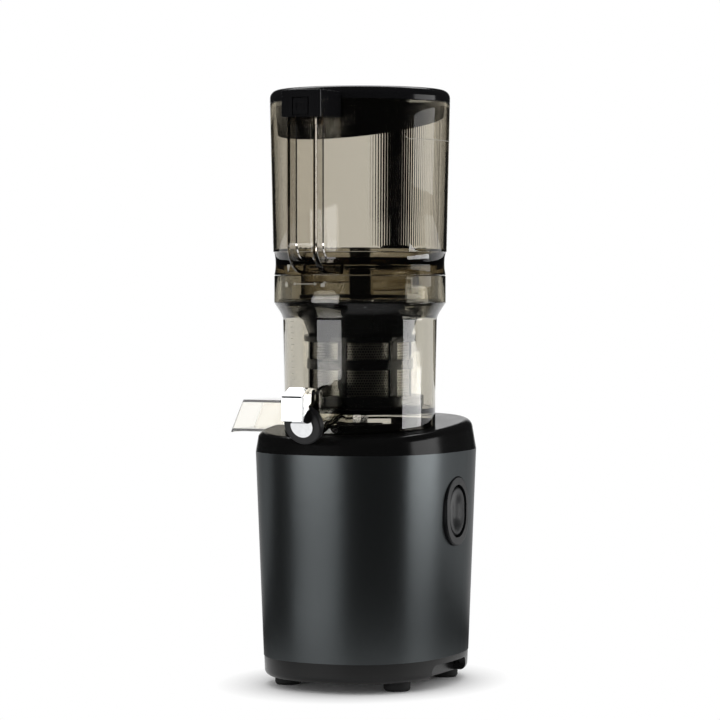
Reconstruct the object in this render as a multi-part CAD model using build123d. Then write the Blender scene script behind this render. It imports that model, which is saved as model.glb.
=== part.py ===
"""Cold press juicer: a motor base, a juicing drum with strainer and screw, and a wide hopper with a lid.

Millimetres, +Z up. The origin is in the plane that the feet stand on, under the middle of the whole
machine. Pieces are modelled about the drive axis, and save() puts them at its place. The front, with
the juice spout and the hopper's handle, faces -Y, and the pulp chute points to -X. Heights build up
from the feet, each assembly on the one below it, and the motor hangs from the cover.
"""

from build123d import *
from math import acos, atan2, cos, degrees, pi, radians, sin, tan
import os

os.makedirs("parts", exist_ok=True)

DRIVE_X, DRIVE_Y = 18.0, 6.0  # place of the drive axis

# ---------------------------------------------------------------- clearances and common walls
SEAT_GAP = 0.2  # between faces that rest on each other but come apart
RUN_GAP = 0.05  # radial, a shaft in its bearing
PRESS_GAP = 0.02  # radial, pieces that are pushed together for good
SLIDE_GAP = 0.4  # between pieces that turn or lift past each other
DRUM_GAP = 1.0  # radial, between the drum's skirt and the ring that it sits round
CLEAR_WALL = 2.6  # moulded clear plastic
SHELL_WALL = 3.0  # moulded black plastic
PAST = 1.0  # how far a cut runs past the face that it opens
FAR = 60.0  # the same, where a cut ends somewhere out in the open

# ---------------------------------------------------------------- base
BASE_HALF_WIDTH = 85.0
BASE_HALF_DEPTH = 104.0
BASE_CENTRE_Y = 14.0
BASE_ROUNDNESS = 2.4  # exponent of the rounded plan outline, 2 is an ellipse
OUTLINE_POINTS = 24
BASE_FOOT_SHARE = 0.93  # plan size at the foot of the sleeve, against its top
FOOT_HEIGHT = 8.4
TRAY_HEIGHT = 16.6
SLEEVE_HEIGHT = 170.5
COVER_HEIGHT = 20.0  # on the drive axis
TRAY_LOW_Z = FOOT_HEIGHT
SLEEVE_LOW_Z = TRAY_LOW_Z + TRAY_HEIGHT
SLEEVE_HIGH_Z = SLEEVE_LOW_Z + SLEEVE_HEIGHT
COVER_TOP_Z = SLEEVE_HIGH_Z + COVER_HEIGHT
SLEEVE_WALL = 1.5
COVER_SLOPE = 0.07  # rise towards the back
COVER_BEVEL = 0.2  # how far the cover's side leans in, per mm of height
COVER_EDGE_R = 7.0
COVER_RIM = 8.0  # how far the cover reaches down into the sleeve
SEAT_HEIGHT = 7.5  # of the ring that the drum sits round, over the cover's top
SEAT_WINDOWS, SEAT_WINDOW_SPREAD, SEAT_WINDOW_ANGLE = 3, 48.0, -9.0
SEAT_SILL, SEAT_LINTEL = 1.0, 1.8  # what is left under and over those windows
MOUTH_HEIGHT = 6.0  # of the raised mouth round the drive shaft
TRAY_EDGE_R = 5.0
TRAY_RIM = 6.0  # how far the tray reaches up into the sleeve
GRIP_LOW_Y, GRIP_HIGH_Y = -21.0, 50.0
GRIP_TOP_Z = 20.0
GRIP_DEPTH = 13.0
GRIP_CORNER_R = 7.0
VENT_ROWS, VENT_PITCH, VENT_START_Y = 5, 8.0, -16.0
VENT_LENGTH, VENT_WIDTH = 46.0, 3.2
FOOT_R = 11.0
FOOT_X = BASE_HALF_WIDTH - 35.0
FOOT_FRONT_Y = BASE_CENTRE_Y - BASE_HALF_DEPTH + 55.0
FOOT_BACK_Y = BASE_CENTRE_Y + BASE_HALF_DEPTH - 54.0
FOOT_PLACES = [(x, y) for y in (FOOT_FRONT_Y, FOOT_BACK_Y) for x in (-FOOT_X, FOOT_X)]
FOOT_SINK = 1.6  # how far a foot stands in the tray's recess
FOOT_HOLLOW_R = 6.0  # of the shallow hollow in its sole
GROMMET_Z = SLEEVE_LOW_Z + 19.0
GROMMET_R, GROMMET_BORE_R = 7.0, 3.5
GROMMET_FLANGE = 2.0
BOARD_LOW_Z = SLEEVE_LOW_Z + 9.0
BOARD_Y = BASE_CENTRE_Y + BASE_HALF_DEPTH - 34.0
BOARD_WIDTH, BOARD_HEIGHT, BOARD_THICK = 60.0, 62.0, 1.6
BOARD_POST_X, BOARD_POST_R = 22.0, 4.0

# ---------------------------------------------------------------- switch, on the right side
SWITCH_Y = 11.0
SWITCH_Z = SLEEVE_LOW_Z + 121.0
BEZEL_WIDTH, BEZEL_HEIGHT = 46.0, 58.0
BEZEL_PROUD, BEZEL_DEPTH = 1.8, 8.0
BEZEL_FIT = 0.15  # between the bezel and the sleeve's window, all round
ROCKER_WIDTH, ROCKER_HEIGHT = 34.0, 42.0
ROCKER_PROUD, ROCKER_DEPTH = 1.0, 4.0
ROCKER_END_GAP = 1.0  # over and under the rocker, where its ends swing in
ROCKER_DISH_R, ROCKER_DISH = 60.0, 1.4
ROCKER_AXLE_R, ROCKER_AXLE_DEPTH = 3.0, 5.0
SWITCH_BODY_DEPTH = 14.0
SWITCH_TAG = 7.0  # length of its contact tags
SWITCH_TAG_PITCH = 10.0

# ---------------------------------------------------------------- drive shaft
HEX_ACROSS = 12.0
HEX_CORNER_R = HEX_ACROSS / 2 / cos(pi / 6)
SHAFT_STEP = 0.07  # how far the round shaft stands out past the hexagon's corners
DRIVE_SHAFT_R = HEX_CORNER_R + SHAFT_STEP
SEAL_R = DRIVE_SHAFT_R + 8.0
SEAL_HEIGHT = 7.0
SEAL_LOW_Z = COVER_TOP_Z - 10.5
MOUTH_R = SEAL_R + 4.0
HEX_LOW_Z = SEAL_LOW_Z + SEAL_HEIGHT + 1.5
BUSH_R = HEX_CORNER_R + 3.0
BUSH_HEIGHT = 21.0
BUSH_FIT = 0.15  # between the hexagon and its socket, all round

# ---------------------------------------------------------------- motor and gears, hung from the cover
PRESSURE_ANGLE = radians(25)
BACKLASH = 0.16
SMALL_TEETH, FIRST_TEETH, SECOND_TEETH = 12, 48, 60
FIRST_MODULE = 1.2
SECOND_MODULE = FIRST_MODULE * (SMALL_TEETH + FIRST_TEETH) / (SMALL_TEETH + SECOND_TEETH)
FIRST_WIDTH, SECOND_WIDTH = 10.0, 14.0
LAYSHAFT_Y = FIRST_MODULE * (SMALL_TEETH + FIRST_TEETH) / 2
LAYSHAFT_R, LAYSHAFT_COLLAR_R = 4.0, 5.6
GEAR_SPACE = 4.0  # between the two pairs of gears
GEAR_SPACE_LOW, GEAR_SPACE_HIGH = 5.0, 5.0  # under and over them in the gearbox
GEAR_ROOM_R = SECOND_MODULE * (SECOND_TEETH / 2 + 1) + 2.0
GEAR_RIM = 5.0  # of the large gears, inside the pitch circle
GEAR_HOLES, GEAR_HOLE_R, GEAR_HOLE_PLACE_R = 6, 3.5, 18.0
TOWER_HIGH_Z = SEAL_LOW_Z - 11.0
TOWER_HEIGHT = 42.0
GEARCASE_LID_Z = TOWER_HIGH_Z - TOWER_HEIGHT
GEARCASE_LID = 6.0
SECOND_LOW_Z = GEARCASE_LID_Z - GEAR_SPACE_HIGH - SECOND_WIDTH
FIRST_LOW_Z = SECOND_LOW_Z - GEAR_SPACE - FIRST_WIDTH
HOUSING_WALL, HOUSING_FLOOR = 3.0, 8.0
HOUSING_LOW_Z = FIRST_LOW_Z - GEAR_SPACE_LOW - HOUSING_FLOOR
MOTOR_SHAFT_R = 4.0
BALL_RACE_R = MOTOR_SHAFT_R + 7.0  # outer radius of the small bearings
BALL_RACE_WIDTH = 6.0
LAY_RACE_WIDTH = 4.0  # of the layshaft's upper bearing
OUTPUT_RACE_R = DRIVE_SHAFT_R + 7.0
OUTPUT_RACE_WIDTH = 8.0
TOWER_R = OUTPUT_RACE_R + 3.0
TOWER_RIBS, TOWER_RIB_REACH, TOWER_RIB_HALF = 6, 12.0, 1.5
MOTOR_R, MOTOR_RIM = 44.0, 4.0
STATOR_BORE_R = 25.2
STATOR_LENGTH = 52.0
STATOR_SLOTS, STATOR_SLOT_WIDTH, STATOR_YOKE = 8, 4.0, 9.0
WINDING_HEIGHT = 9.0
STATOR_HIGH_Z = HOUSING_LOW_Z - WINDING_HEIGHT - 1.0
STATOR_LOW_Z = STATOR_HIGH_Z - STATOR_LENGTH
BRACKET_LOW_Z = STATOR_LOW_Z - WINDING_HEIGHT - 5.0
BRACKET_SEAT = 3.0  # how far its bearing seat hangs down
ROTOR_R = STATOR_BORE_R - 0.7
FAN_R, FAN_HUB_R, FAN_BLADES, FAN_BLADE = 30.0, 9.0, 7, 1.6
FAN_HEIGHT = 10.0
FAN_HIGH_Z = BRACKET_LOW_Z - BRACKET_SEAT - 2.0
SCREW_STEM_R, SCREW_HEAD_R, SCREW_HEAD = 1.8, 3.6, 3.0
SCREW_GRIP = 10.0  # how far a case screw enters its post
POST_R = 6.0
POST_OUT = 24.0  # of the posts, past the gears' axes
POST_PLACES = [(x, y) for y in (-POST_OUT, LAYSHAFT_Y + POST_OUT) for x in (-GEAR_ROOM_R, GEAR_ROOM_R)]
DAMPER = 4.0
DAMPER_Z = GEARCASE_LID_Z + GEARCASE_LID
EAR = 8.0  # height of the gearbox housing's screw ears

# ---------------------------------------------------------------- drum
DRUM_LOW_R = 63.3
DRUM_HIGH_R = DRUM_LOW_R + 1.3
COLLAR_R = DRUM_LOW_R + 8.7
COLLAR_WALL = 3.0
COLLAR_HEIGHT = 22.6
CHAMBER_FLOOR = 3.0
CHAMBER_FLOOR_Z = COVER_TOP_Z + 15.5
FLOOR_LOW_Z = CHAMBER_FLOOR_Z - CHAMBER_FLOOR
DRUM_LOW_Z = CHAMBER_FLOOR_Z + 13.0  # where the wall starts to widen
DRUM_HIGH_Z = CHAMBER_FLOOR_Z + 74.0  # where it starts to flare into the collar
COLLAR_LOW_Z = CHAMBER_FLOOR_Z + 88.3
DRUM_TOP_Z = COLLAR_LOW_Z + COLLAR_HEIGHT
SHOULDER_Z = COLLAR_LOW_Z - 1.0  # ledge inside that the funnel rests on
DRUM_SKIRT_Z = COVER_TOP_Z - 20.0  # foot of the skirt, before the cover's slope cuts it
GASKET_WALL = 1.65
HUB_BORE_R = HEX_CORNER_R + SLIDE_GAP + GASKET_WALL + PRESS_GAP
HUB_R = HUB_BORE_R + 3.0
HUB_TOP_Z = CHAMBER_FLOOR_Z + 9.0
SPOUT_SLOPE = radians(17.6)
SPOUT_R, SPOUT_WALL = 15.8, 2.2
SPOUT_REACH = 47.2  # level, from the drum's wall to the front of the cap
SPOUT_LOW = 26.1  # how far its front end hangs under the chamber's floor
SPOUT_END = (0.0, -DRUM_LOW_R - SPOUT_REACH, CHAMBER_FLOOR_Z - SPOUT_LOW + SPOUT_R)
CAP_SEAL_R, CAP_SEAL = SPOUT_R + 0.7, 6.0
CAP_FIT = 0.3  # between the seal's plate and the spout's end
CAP_PLUG, CAP_PLUG_GAP, CAP_PLUG_TAPER = 3.0, 0.9, 2.4
CAP_DISC_R, CAP_DISC = 9.7, 1.2
CAP_WIDTH = 17.0
CAP_HINGE_BACK, CAP_HINGE_RISE = 17.33, SPOUT_R + 5.77
CAP_BARREL_R, CAP_PIN_R = 3.2, 1.5
CAP_EAR = 3.0  # thickness of the ears at both ends of its pin
CAP_EAR_HEIGHT = 14.0
LEVER_PROUD, LEVER_LOW = 17.2, 10.4
LEVER_HEIGHT = SPOUT_R + 15.5
CHUTE_REACH = 36.0  # past the side of the base
CHUTE_END_X = -BASE_HALF_WIDTH - CHUTE_REACH
CHUTE_START_X = -HUB_R - 8.0
CHUTE_LIP = 12.0  # how far the slanted mouth is drawn back at its top
CHUTE_LOW_Y, CHUTE_HIGH_Y = -2.0, 42.0
CHUTE_LOW_Z, CHUTE_HIGH_Z = CHAMBER_FLOOR_Z - 22.0, CHAMBER_FLOOR_Z + 5.0
CHUTE_WALL = 2.2
PULP_HOLE_R = 7.5
PULP_HOLE_X, PULP_HOLE_Y = CHUTE_START_X - 7.0, 17.0

# ---------------------------------------------------------------- bayonet between drum and hopper
LUG_COUNT, LUG_SPREAD, LUG_ANGLE = 3, 27.0, -42.0
LUG_HEIGHT, KEEPER_HEIGHT, LUG_RISE = 4.5, 3.3, 0.7
KEEPER_HIGH_Z = DRUM_TOP_Z - 3.4
KEEPER_LOW_Z = KEEPER_HIGH_Z - KEEPER_HEIGHT
LUG_HIGH_Z = KEEPER_LOW_Z - LUG_RISE
LUG_LOW_Z = LUG_HIGH_Z - LUG_HEIGHT
STOP_SPREAD = 1.5  # of the rib that stops each lug
SPIGOT_R = COLLAR_R - COLLAR_WALL - 2.5

# ---------------------------------------------------------------- strainer and screw
CAGE_BORE_R = DRUM_LOW_R - 22.0
CAGE_R = CAGE_BORE_R + 2.1
STRAINER_HEIGHT = 59.0
STRAINER_LOW_Z = CHAMBER_FLOOR_Z + 0.3
STRAINER_HIGH_Z = STRAINER_LOW_Z + STRAINER_HEIGHT
STRAINER_BOTTOM_R, STRAINER_BOTTOM_H = CAGE_BORE_R + 12.2, 10.4
STRAINER_TOP_R, STRAINER_TOP_H = CAGE_BORE_R + 5.7, 4.3
STRAINER_MID_R, STRAINER_MID_H = CAGE_BORE_R + 3.2, 8.0
STRAINER_MID_Z = STRAINER_LOW_Z + 32.2
CAGE_RIBS, CAGE_RIB_WIDTH, CAGE_RIB_ANGLE = 6, 7.3, -85.0
MESH_WALL = 0.5
THROAT_R = CAGE_BORE_R + 5.7
FUNNEL_TOP_R = THROAT_R + 7.0
FUNNEL_LOW_R = CAGE_BORE_R + 1.7
FUNNEL_WALL, FUNNEL_FLANGE = 3.0, 2.4
SCREW_R = CAGE_BORE_R - MESH_WALL - 1.8
SCREW_LOW_Z, SCREW_HIGH_Z = HUB_TOP_Z + 3.0, SHOULDER_Z - 0.3
SCREW_CORE_LOW_R, SCREW_CORE_HIGH_R = SCREW_R - 12.0, 11.0
SCREW_NECK_R = 9.0
SCREW_STARTS, SCREW_PITCH, FLIGHT_WIDTH = 2, 58.0, 7.0
BUSH_LOW_Z = SCREW_LOW_Z
BUSH_HIGH_Z = BUSH_LOW_Z + BUSH_HEIGHT
DRIVE_TOP_Z = BUSH_HIGH_Z - 2.0

# ---------------------------------------------------------------- hopper
HOPPER_HEIGHT = 143.9
HOPPER_FOOT_Z = DRUM_TOP_Z + SEAT_GAP
HOPPER_TOP_Z = DRUM_TOP_Z + HOPPER_HEIGHT
HOPPER_STEP_Z = DRUM_TOP_Z + 19.6
HOPPER_FOOT_R = COLLAR_R + 0.1
HOPPER_LOW_R = COLLAR_R + 0.8
HOPPER_TOP_R = HOPPER_LOW_R + 2.7
NECK_R, NECK_Z = COLLAR_R - 1.1, DRUM_TOP_Z + 10.6
SPIGOT_LOW_Z = SHOULDER_Z + FUNNEL_FLANGE + 1.3
FLOOR_WALL_Z, FLOOR_THROAT_Z = DRUM_TOP_Z + 15.1, DRUM_TOP_Z + 8.1
SCREW_NECK_Z = FLOOR_THROAT_Z + 2.0
WING_R, WING_HUB_R, WING_TURN = THROAT_R + 9.0, 13.0, 205.0
WING_LOW_Z, WING_HIGH_Z = FLOOR_WALL_Z, FLOOR_WALL_Z + 10.0
WING_TEETH, WING_TOOTH = 9, 1.2
HANDLE_WIDTH, HANDLE_DEPTH = 27.0, 15.0
HANDLE_REACH = 37.5  # of its front, past the hopper's rim
HANDLE_FRONT_Y = -HOPPER_TOP_R - HANDLE_REACH
HANDLE_TOP_Z = HOPPER_TOP_Z - 16.6
HANDLE_FOOT_Z, HANDLE_FOOT_H = DRUM_TOP_Z + 1.3, 11.0
HANDLE_BEND_Z = HANDLE_FOOT_Z + 24.8
HANDLE_PANEL_Z = HANDLE_BEND_Z - 2.0  # lower end of its front panel
HANDLE_WALL, HANDLE_RAIL, HANDLE_CROWN = 2.5, 3.4, 6.0
HANDLE_EDGE_R = 3.0
HANDLE_PAD_HALF, HANDLE_PAD_H = 17.5, 8.4
HANDLE_END_Y = -HOPPER_LOW_R + 12.8  # its inner end, before the hopper's side cuts it
BRIDGE_HEIGHT = 8.8
BRIDGE_FRONT_Y = HANDLE_FRONT_Y + 5.5
BRIDGE_HALF, BRIDGE_WALL = 12.5, 2.8
COLUMN_WIDTH, COLUMN_DEPTH = 31.0, 7.0
COLUMN_NARROW = 27.0
COLUMN_NARROW_Z, COLUMN_TAPER = HOPPER_STEP_Z + 36.5, 10.0
KNUCKLE = 7.0

# ---------------------------------------------------------------- lid
LID_LOW_Z = HOPPER_TOP_Z + SEAT_GAP
LID_SIDE_Z = LID_LOW_Z + 4.0
LID_TOP_Z = LID_SIDE_Z + 8.2
LID_SHOULDER_R, LID_SHOULDER_Z = HOPPER_TOP_R - 7.5, LID_TOP_Z - 1.6
LID_HINGE_Y, LID_HINGE_Z = HOPPER_TOP_R + 6.5, HOPPER_TOP_Z + 1.2
LID_BARREL_R, LID_PIN_R = 4.2, 2.0
SKIRT_TOP_R, SKIRT_LOW_R = HOPPER_TOP_R - 3.9, HOPPER_TOP_R - 7.5
SKIRT_WALL = 2.2
SKIRT_AXIS_Z = HOPPER_TOP_Z - 18.3  # height of its slanted edge on the drive axis
SKIRT_SLOPE_X, SKIRT_SLOPE_Y = 0.024, 0.209
BLOCK_WIDTH, BLOCK_HEIGHT, BLOCK_WALL = 35.0, 22.0, 2.2
BLOCK_FRONT_Y = HANDLE_FRONT_Y - 0.5
BLOCK_LOW_Z = HANDLE_TOP_Z + 0.3
BLOCK_HIGH_Z = BLOCK_LOW_Z + BLOCK_HEIGHT
TONGUE_WIDTH, TONGUE_HEIGHT, TONGUE_GAP = 13.0, 13.0, 0.9
TONGUE_LOW_Z = BLOCK_LOW_Z + 2.0
TONGUE_HIGH_Z = TONGUE_LOW_Z + TONGUE_HEIGHT
TONGUE_PIN_R = 1.0
TONGUE_PIN_Y, TONGUE_PIN_Z = BLOCK_FRONT_Y + 3.6, TONGUE_HIGH_Z - 0.3
TONGUE_DISH, TONGUE_DISH_EDGE_X, TONGUE_DISH_EDGE_Z = 0.9, 2.4, 3.5


# ---------------------------------------------------------------- helpers
def disc(radius, low, high, x=0.0, y=0.0):
    """A solid disc or rod about a vertical axis, between two heights."""
    rod = Cylinder(radius, high - low, align=(Align.CENTER, Align.CENTER, Align.MIN))
    return Pos(x, y, low) * rod


def ring(outer, inner, low, high, x=0.0, y=0.0):
    """A plain ring or tube about a vertical axis."""
    return disc(outer, low, high, x, y) - disc(inner, low - PAST, high + PAST, x, y)


def block(low, high):
    """A box from its lowest corner to its highest."""
    size = [b - a for a, b in zip(low, high)]
    return Pos(*low) * Box(*size, align=(Align.MIN, Align.MIN, Align.MIN))


def turned(*points):
    """A solid of revolution about the drive axis, from (radius, height) corners."""
    return revolve(make_face(Plane.XZ * Polyline(*points, close=True)), Axis.Z)


def across(edges, half_width, x=0.0):
    """A closed (y, z) outline made solid to both sides of a plane across X."""
    face = make_face([Plane.YZ * edge for edge in edges])
    return Pos(x, 0, 0) * extrude(face, half_width, both=True)


def rod_x(radius, half_length, y, z, x=0.0):
    """A rod along X."""
    return Pos(x, y, z) * Rot(0, 90, 0) * Cylinder(radius, 2 * half_length)


def wedge(outer, inner, low, high, middle, spread):
    """A piece of a ring, spread degrees wide, about the plan angle middle."""
    start = middle - spread / 2
    far = CenterArc((0, 0), outer, start, spread)
    near = CenterArc((0, 0), inner, start, spread)
    sides = [Line(far @ 0, near @ 0), Line(far @ 1, near @ 1)]
    return Pos(0, 0, low) * extrude(make_face([far, near, *sides]), high - low)


def turn_by(count, start=0.0):
    """Plan angles of count equal places round the drive axis."""
    return [start + 360 / count * i for i in range(count)]


def joined(pieces):
    """One solid made of pieces that overlap or touch."""
    pieces = list(pieces)
    whole = pieces[0]
    for piece in pieces[1:]:
        whole += piece
    return whole


def save(name, solids):
    """Writes one node at its place. Pieces that only sit side by side stay separate solids."""
    placed = [Pos(DRIVE_X, DRIVE_Y, 0) * solid for solid in solids]
    shape = placed[0] if len(placed) == 1 else Compound(children=placed)
    shape.label = name
    export_step(shape, f"parts/{name}.step")


# ---------------------------------------------------------------- base outline
def base_share(z):
    """Plan size of the sleeve at a height, against its top."""
    down = (SLEEVE_HIGH_Z - z) / (SLEEVE_HIGH_Z - SLEEVE_LOW_Z)
    return 1 - (1 - BASE_FOOT_SHARE) * down


def base_section(z, inset=0.0):
    """The base's rounded plan outline at a height, as a face."""
    half_x = BASE_HALF_WIDTH * base_share(z) - inset
    half_y = BASE_HALF_DEPTH * base_share(z) - inset
    power = 2 / BASE_ROUNDNESS

    def point(turn):
        c, s = cos(turn), sin(turn)
        x = half_x * abs(c) ** power * (1 if c >= 0 else -1)
        y = half_y * abs(s) ** power * (1 if s >= 0 else -1)
        return (x, y + BASE_CENTRE_Y, z)

    points = [point(2 * pi * (i + 0.5) / OUTLINE_POINTS) for i in range(OUTLINE_POINTS)]
    return make_face(Spline(*points, periodic=True))


def base_solid(low, high, inset=0.0, lean=0.0):
    """The base's outline between two heights. lean draws its top in further."""
    return loft([base_section(low, inset), base_section(high, inset + lean)], ruled=True)


def side_x(z):
    """How far out the base's side reaches, at a height."""
    return BASE_HALF_WIDTH * base_share(z)


def cover_plane(drop=0.0):
    """The sloping plane of the cover's top, or one that far under it."""
    tilt = degrees(atan2(COVER_SLOPE, 1))
    return Plane(Location((0, 0, COVER_TOP_Z - drop), (tilt, 0, 0)))


def under_cover_plane(shape, drop=0.0):
    """The part of a shape that lies under the sloping top."""
    return split(shape, bisect_by=cover_plane(drop), keep=Keep.BOTTOM)


def over_cover_plane(shape, drop=0.0):
    """The part of a shape that lies over the sloping top."""
    return split(shape, bisect_by=cover_plane(drop), keep=Keep.TOP)


def chute_notch(extra=0.0):
    """Space in the cover for the pulp chute, or that space grown by a wall."""
    room = SLIDE_GAP + extra
    low = (-BASE_HALF_WIDTH - FAR, CHUTE_LOW_Y - room, CHUTE_LOW_Z - room)
    return block(low, (CHUTE_START_X + room, CHUTE_HIGH_Y + room, COVER_TOP_Z + FAR))


# ---------------------------------------------------------------- base pieces
def make_sleeve():
    """Metal sleeve, open at both ends, with a window for the switch."""
    outer = base_solid(SLEEVE_LOW_Z, SLEEVE_HIGH_Z)
    inner = base_solid(SLEEVE_LOW_Z, SLEEVE_HIGH_Z, SLEEVE_WALL)
    window = switch_slot(BEZEL_WIDTH + 2 * BEZEL_FIT, BEZEL_HEIGHT + 2 * BEZEL_FIT, FAR, FAR)
    hole = grommet_rod(GROMMET_R + PRESS_GAP, FAR)
    return outer - inner - window - hole


def cover_seat():
    """Low ring on the cover that the drum's skirt sits round, with windows all round it."""
    outer = DRUM_LOW_R - CLEAR_WALL - DRUM_GAP
    low, high = COVER_TOP_Z - FAR, COVER_TOP_Z + FAR
    seat = over_cover_plane(ring(outer, outer - SHELL_WALL, low, high), SHELL_WALL / 2)
    for angle in turn_by(SEAT_WINDOWS, SEAT_WINDOW_ANGLE):
        window = wedge(outer + PAST, outer - SHELL_WALL - PAST, low, high, angle, SEAT_WINDOW_SPREAD)
        seat -= under_cover_plane(over_cover_plane(window, -SEAT_SILL), SEAT_LINTEL - SEAT_HEIGHT)
    return under_cover_plane(seat, -SEAT_HEIGHT)


def make_cover():
    """Black top cover: bevelled side, sloping top, seat for the drum and mouth for the shaft."""
    top = COVER_TOP_Z + 25
    lean = COVER_BEVEL * (top - SLEEVE_HIGH_Z)
    outer = under_cover_plane(base_solid(SLEEVE_HIGH_Z, top, 0, lean))
    rim = outer.faces().sort_by(Axis.Z)[-1].edges()
    outer = fillet(rim, COVER_EDGE_R)
    inner = under_cover_plane(base_solid(SLEEVE_HIGH_Z, top, SHELL_WALL, lean), SHELL_WALL)
    rim = inner.faces().sort_by(Axis.Z)[-1].edges()
    inner = fillet(rim, COVER_EDGE_R - SHELL_WALL)
    inner -= chute_notch(SHELL_WALL)
    shell = outer - inner - chute_notch()
    skirt = base_solid(SLEEVE_HIGH_Z - COVER_RIM, SLEEVE_HIGH_Z, SLEEVE_WALL + PRESS_GAP)
    hollow = SLEEVE_WALL + SHELL_WALL
    skirt -= base_solid(SLEEVE_HIGH_Z - COVER_RIM - PAST, SLEEVE_HIGH_Z + PAST, hollow)
    mouth_low = TOWER_HIGH_Z + 4
    mouth = ring(MOUTH_R, SEAL_R + PRESS_GAP, mouth_low, COVER_TOP_Z + MOUTH_HEIGHT)
    web = ring(MOUTH_R, DRIVE_SHAFT_R + PAST, mouth_low, SEAL_LOW_Z)
    posts = []
    for x, y in POST_PLACES:
        post = disc(POST_R, DAMPER_Z + DAMPER, COVER_TOP_Z + FAR, x, y)
        post -= disc(SCREW_STEM_R + PRESS_GAP, 0, DAMPER_Z + DAMPER + SCREW_GRIP + PAST, x, y)
        posts.append(under_cover_plane(post, SHELL_WALL / 2))
    bore = disc(SEAL_R + PRESS_GAP, SEAL_LOW_Z, COVER_TOP_Z + FAR)
    shaft_way = disc(DRIVE_SHAFT_R + PAST, COVER_TOP_Z - FAR, COVER_TOP_Z + FAR)
    cover = joined([shell, skirt, cover_seat(), mouth, web, *posts]) - bore - shaft_way
    return cover - chute_notch()


def grip_pocket(grow=0.0):
    """The two finger recesses in the sides of the tray, or those grown by a wall."""
    pockets = []
    for side in (-1, 1):
        inner_x = side * (side_x(TRAY_LOW_Z) - GRIP_DEPTH - grow)
        outer_x = side * (BASE_HALF_WIDTH + FAR)
        low = (min(inner_x, outer_x), GRIP_LOW_Y - grow, -FOOT_HEIGHT)
        high = (max(inner_x, outer_x), GRIP_HIGH_Y + grow, GRIP_TOP_Z + grow)
        pocket = block(low, high)
        upper = pocket.edges().filter_by(Axis.X).sort_by(Axis.Z)[-2:]
        pockets.append(fillet(upper, GRIP_CORNER_R + grow))
    return joined(pockets)


def make_tray():
    """Black bottom tray: floor, rounded foot, finger recesses, bosses and vents."""
    inset = SLIDE_GAP
    outer = base_solid(TRAY_LOW_Z, SLEEVE_LOW_Z, inset)
    outer = fillet(outer.faces().sort_by(Axis.Z)[0].edges(), TRAY_EDGE_R)
    inner = base_solid(TRAY_LOW_Z + SHELL_WALL, SLEEVE_LOW_Z + PAST, SHELL_WALL + inset)
    inner = fillet(inner.faces().sort_by(Axis.Z)[0].edges(), TRAY_EDGE_R / 2)
    tray = outer - (inner - grip_pocket(SHELL_WALL)) - grip_pocket()
    rim_low, rim_high = SLEEVE_LOW_Z - 4, SLEEVE_LOW_Z + TRAY_RIM
    collar = base_solid(rim_low, rim_high, SLEEVE_WALL + 0.6)
    collar -= base_solid(rim_low - PAST, rim_high + PAST, SLEEVE_WALL + SHELL_WALL)
    tray += collar - grip_pocket()
    for x, y in FOOT_PLACES:
        tray -= disc(FOOT_R + PRESS_GAP, TRAY_LOW_Z - PAST, TRAY_LOW_Z + FOOT_SINK, x, y)
    for x in (-BOARD_POST_X, BOARD_POST_X):
        tray += disc(BOARD_POST_R, TRAY_LOW_Z + SHELL_WALL / 2, BOARD_LOW_Z, x, BOARD_Y)
    for row in range(VENT_ROWS):
        slot = extrude(SlotOverall(VENT_LENGTH, VENT_WIDTH), SLEEVE_LOW_Z)
        tray -= Pos(0, VENT_START_Y + VENT_PITCH * row, 0) * slot
    return tray - grommet_rod(GROMMET_R + PRESS_GAP, FAR)


def grommet_rod(radius, length):
    """A rod through the rear wall, where the mains lead comes in."""
    return Pos(0, rear_y(), GROMMET_Z) * Rot(90, 0, 0) * Cylinder(radius, length)


def rear_y():
    """How far back the base's wall is, at the height of the grommet."""
    return BASE_CENTRE_Y + BASE_HALF_DEPTH * base_share(GROMMET_Z)


def make_grommet():
    """Rubber grommet in the rear wall, with a groove that grips the sleeve."""
    inner, outer = -5.0, 3.0  # its two faces, from the wall's outside
    groove_low, groove_high = -2.6, 0.8
    flange = GROMMET_R + GROMMET_FLANGE
    profile = [(GROMMET_BORE_R, inner), (flange, inner), (flange, groove_low), (GROMMET_R, groove_low)]
    profile += [(GROMMET_R, groove_high), (flange - 0.4, groove_high), (flange - 1.6, outer)]
    body = turned(*profile, (GROMMET_BORE_R, outer))
    return Pos(0, rear_y(), GROMMET_Z) * Rot(-90, 0, 0) * body


def make_feet():
    """Four rubber feet, a little smaller below, with a shallow hollow in the sole."""
    feet = []
    for x, y in FOOT_PLACES:
        top = TRAY_LOW_Z + FOOT_SINK
        points = [(0, 1), (FOOT_HOLLOW_R, 1), (FOOT_HOLLOW_R, 0), (FOOT_R - 1.2, 0)]
        points += [(FOOT_R, 2), (FOOT_R, top), (0, top)]
        feet.append(Pos(x, y, 0) * turned(*points))
    return feet


def switch_slot(width, height, outward, inward):
    """A rounded window through the right wall, about the switch's centre."""
    x = side_x(SWITCH_Z)
    sketch = Plane(origin=(x - inward, SWITCH_Y, SWITCH_Z), x_dir=(0, 0, 1), z_dir=(1, 0, 0))
    return extrude(sketch * SlotOverall(height, width), outward + inward)


def make_bezel():
    """Frame round the rocker, set into the sleeve's window."""
    frame = switch_slot(BEZEL_WIDTH, BEZEL_HEIGHT, BEZEL_PROUD, BEZEL_DEPTH)
    front = frame.faces().sort_by(Axis.X)[-1].edges()
    frame = fillet(front, BEZEL_PROUD * 2 / 3)
    width = ROCKER_WIDTH + 2 * SLIDE_GAP
    height = ROCKER_HEIGHT + 2 * ROCKER_END_GAP
    return frame - switch_slot(width, height, FAR, FAR)


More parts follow.
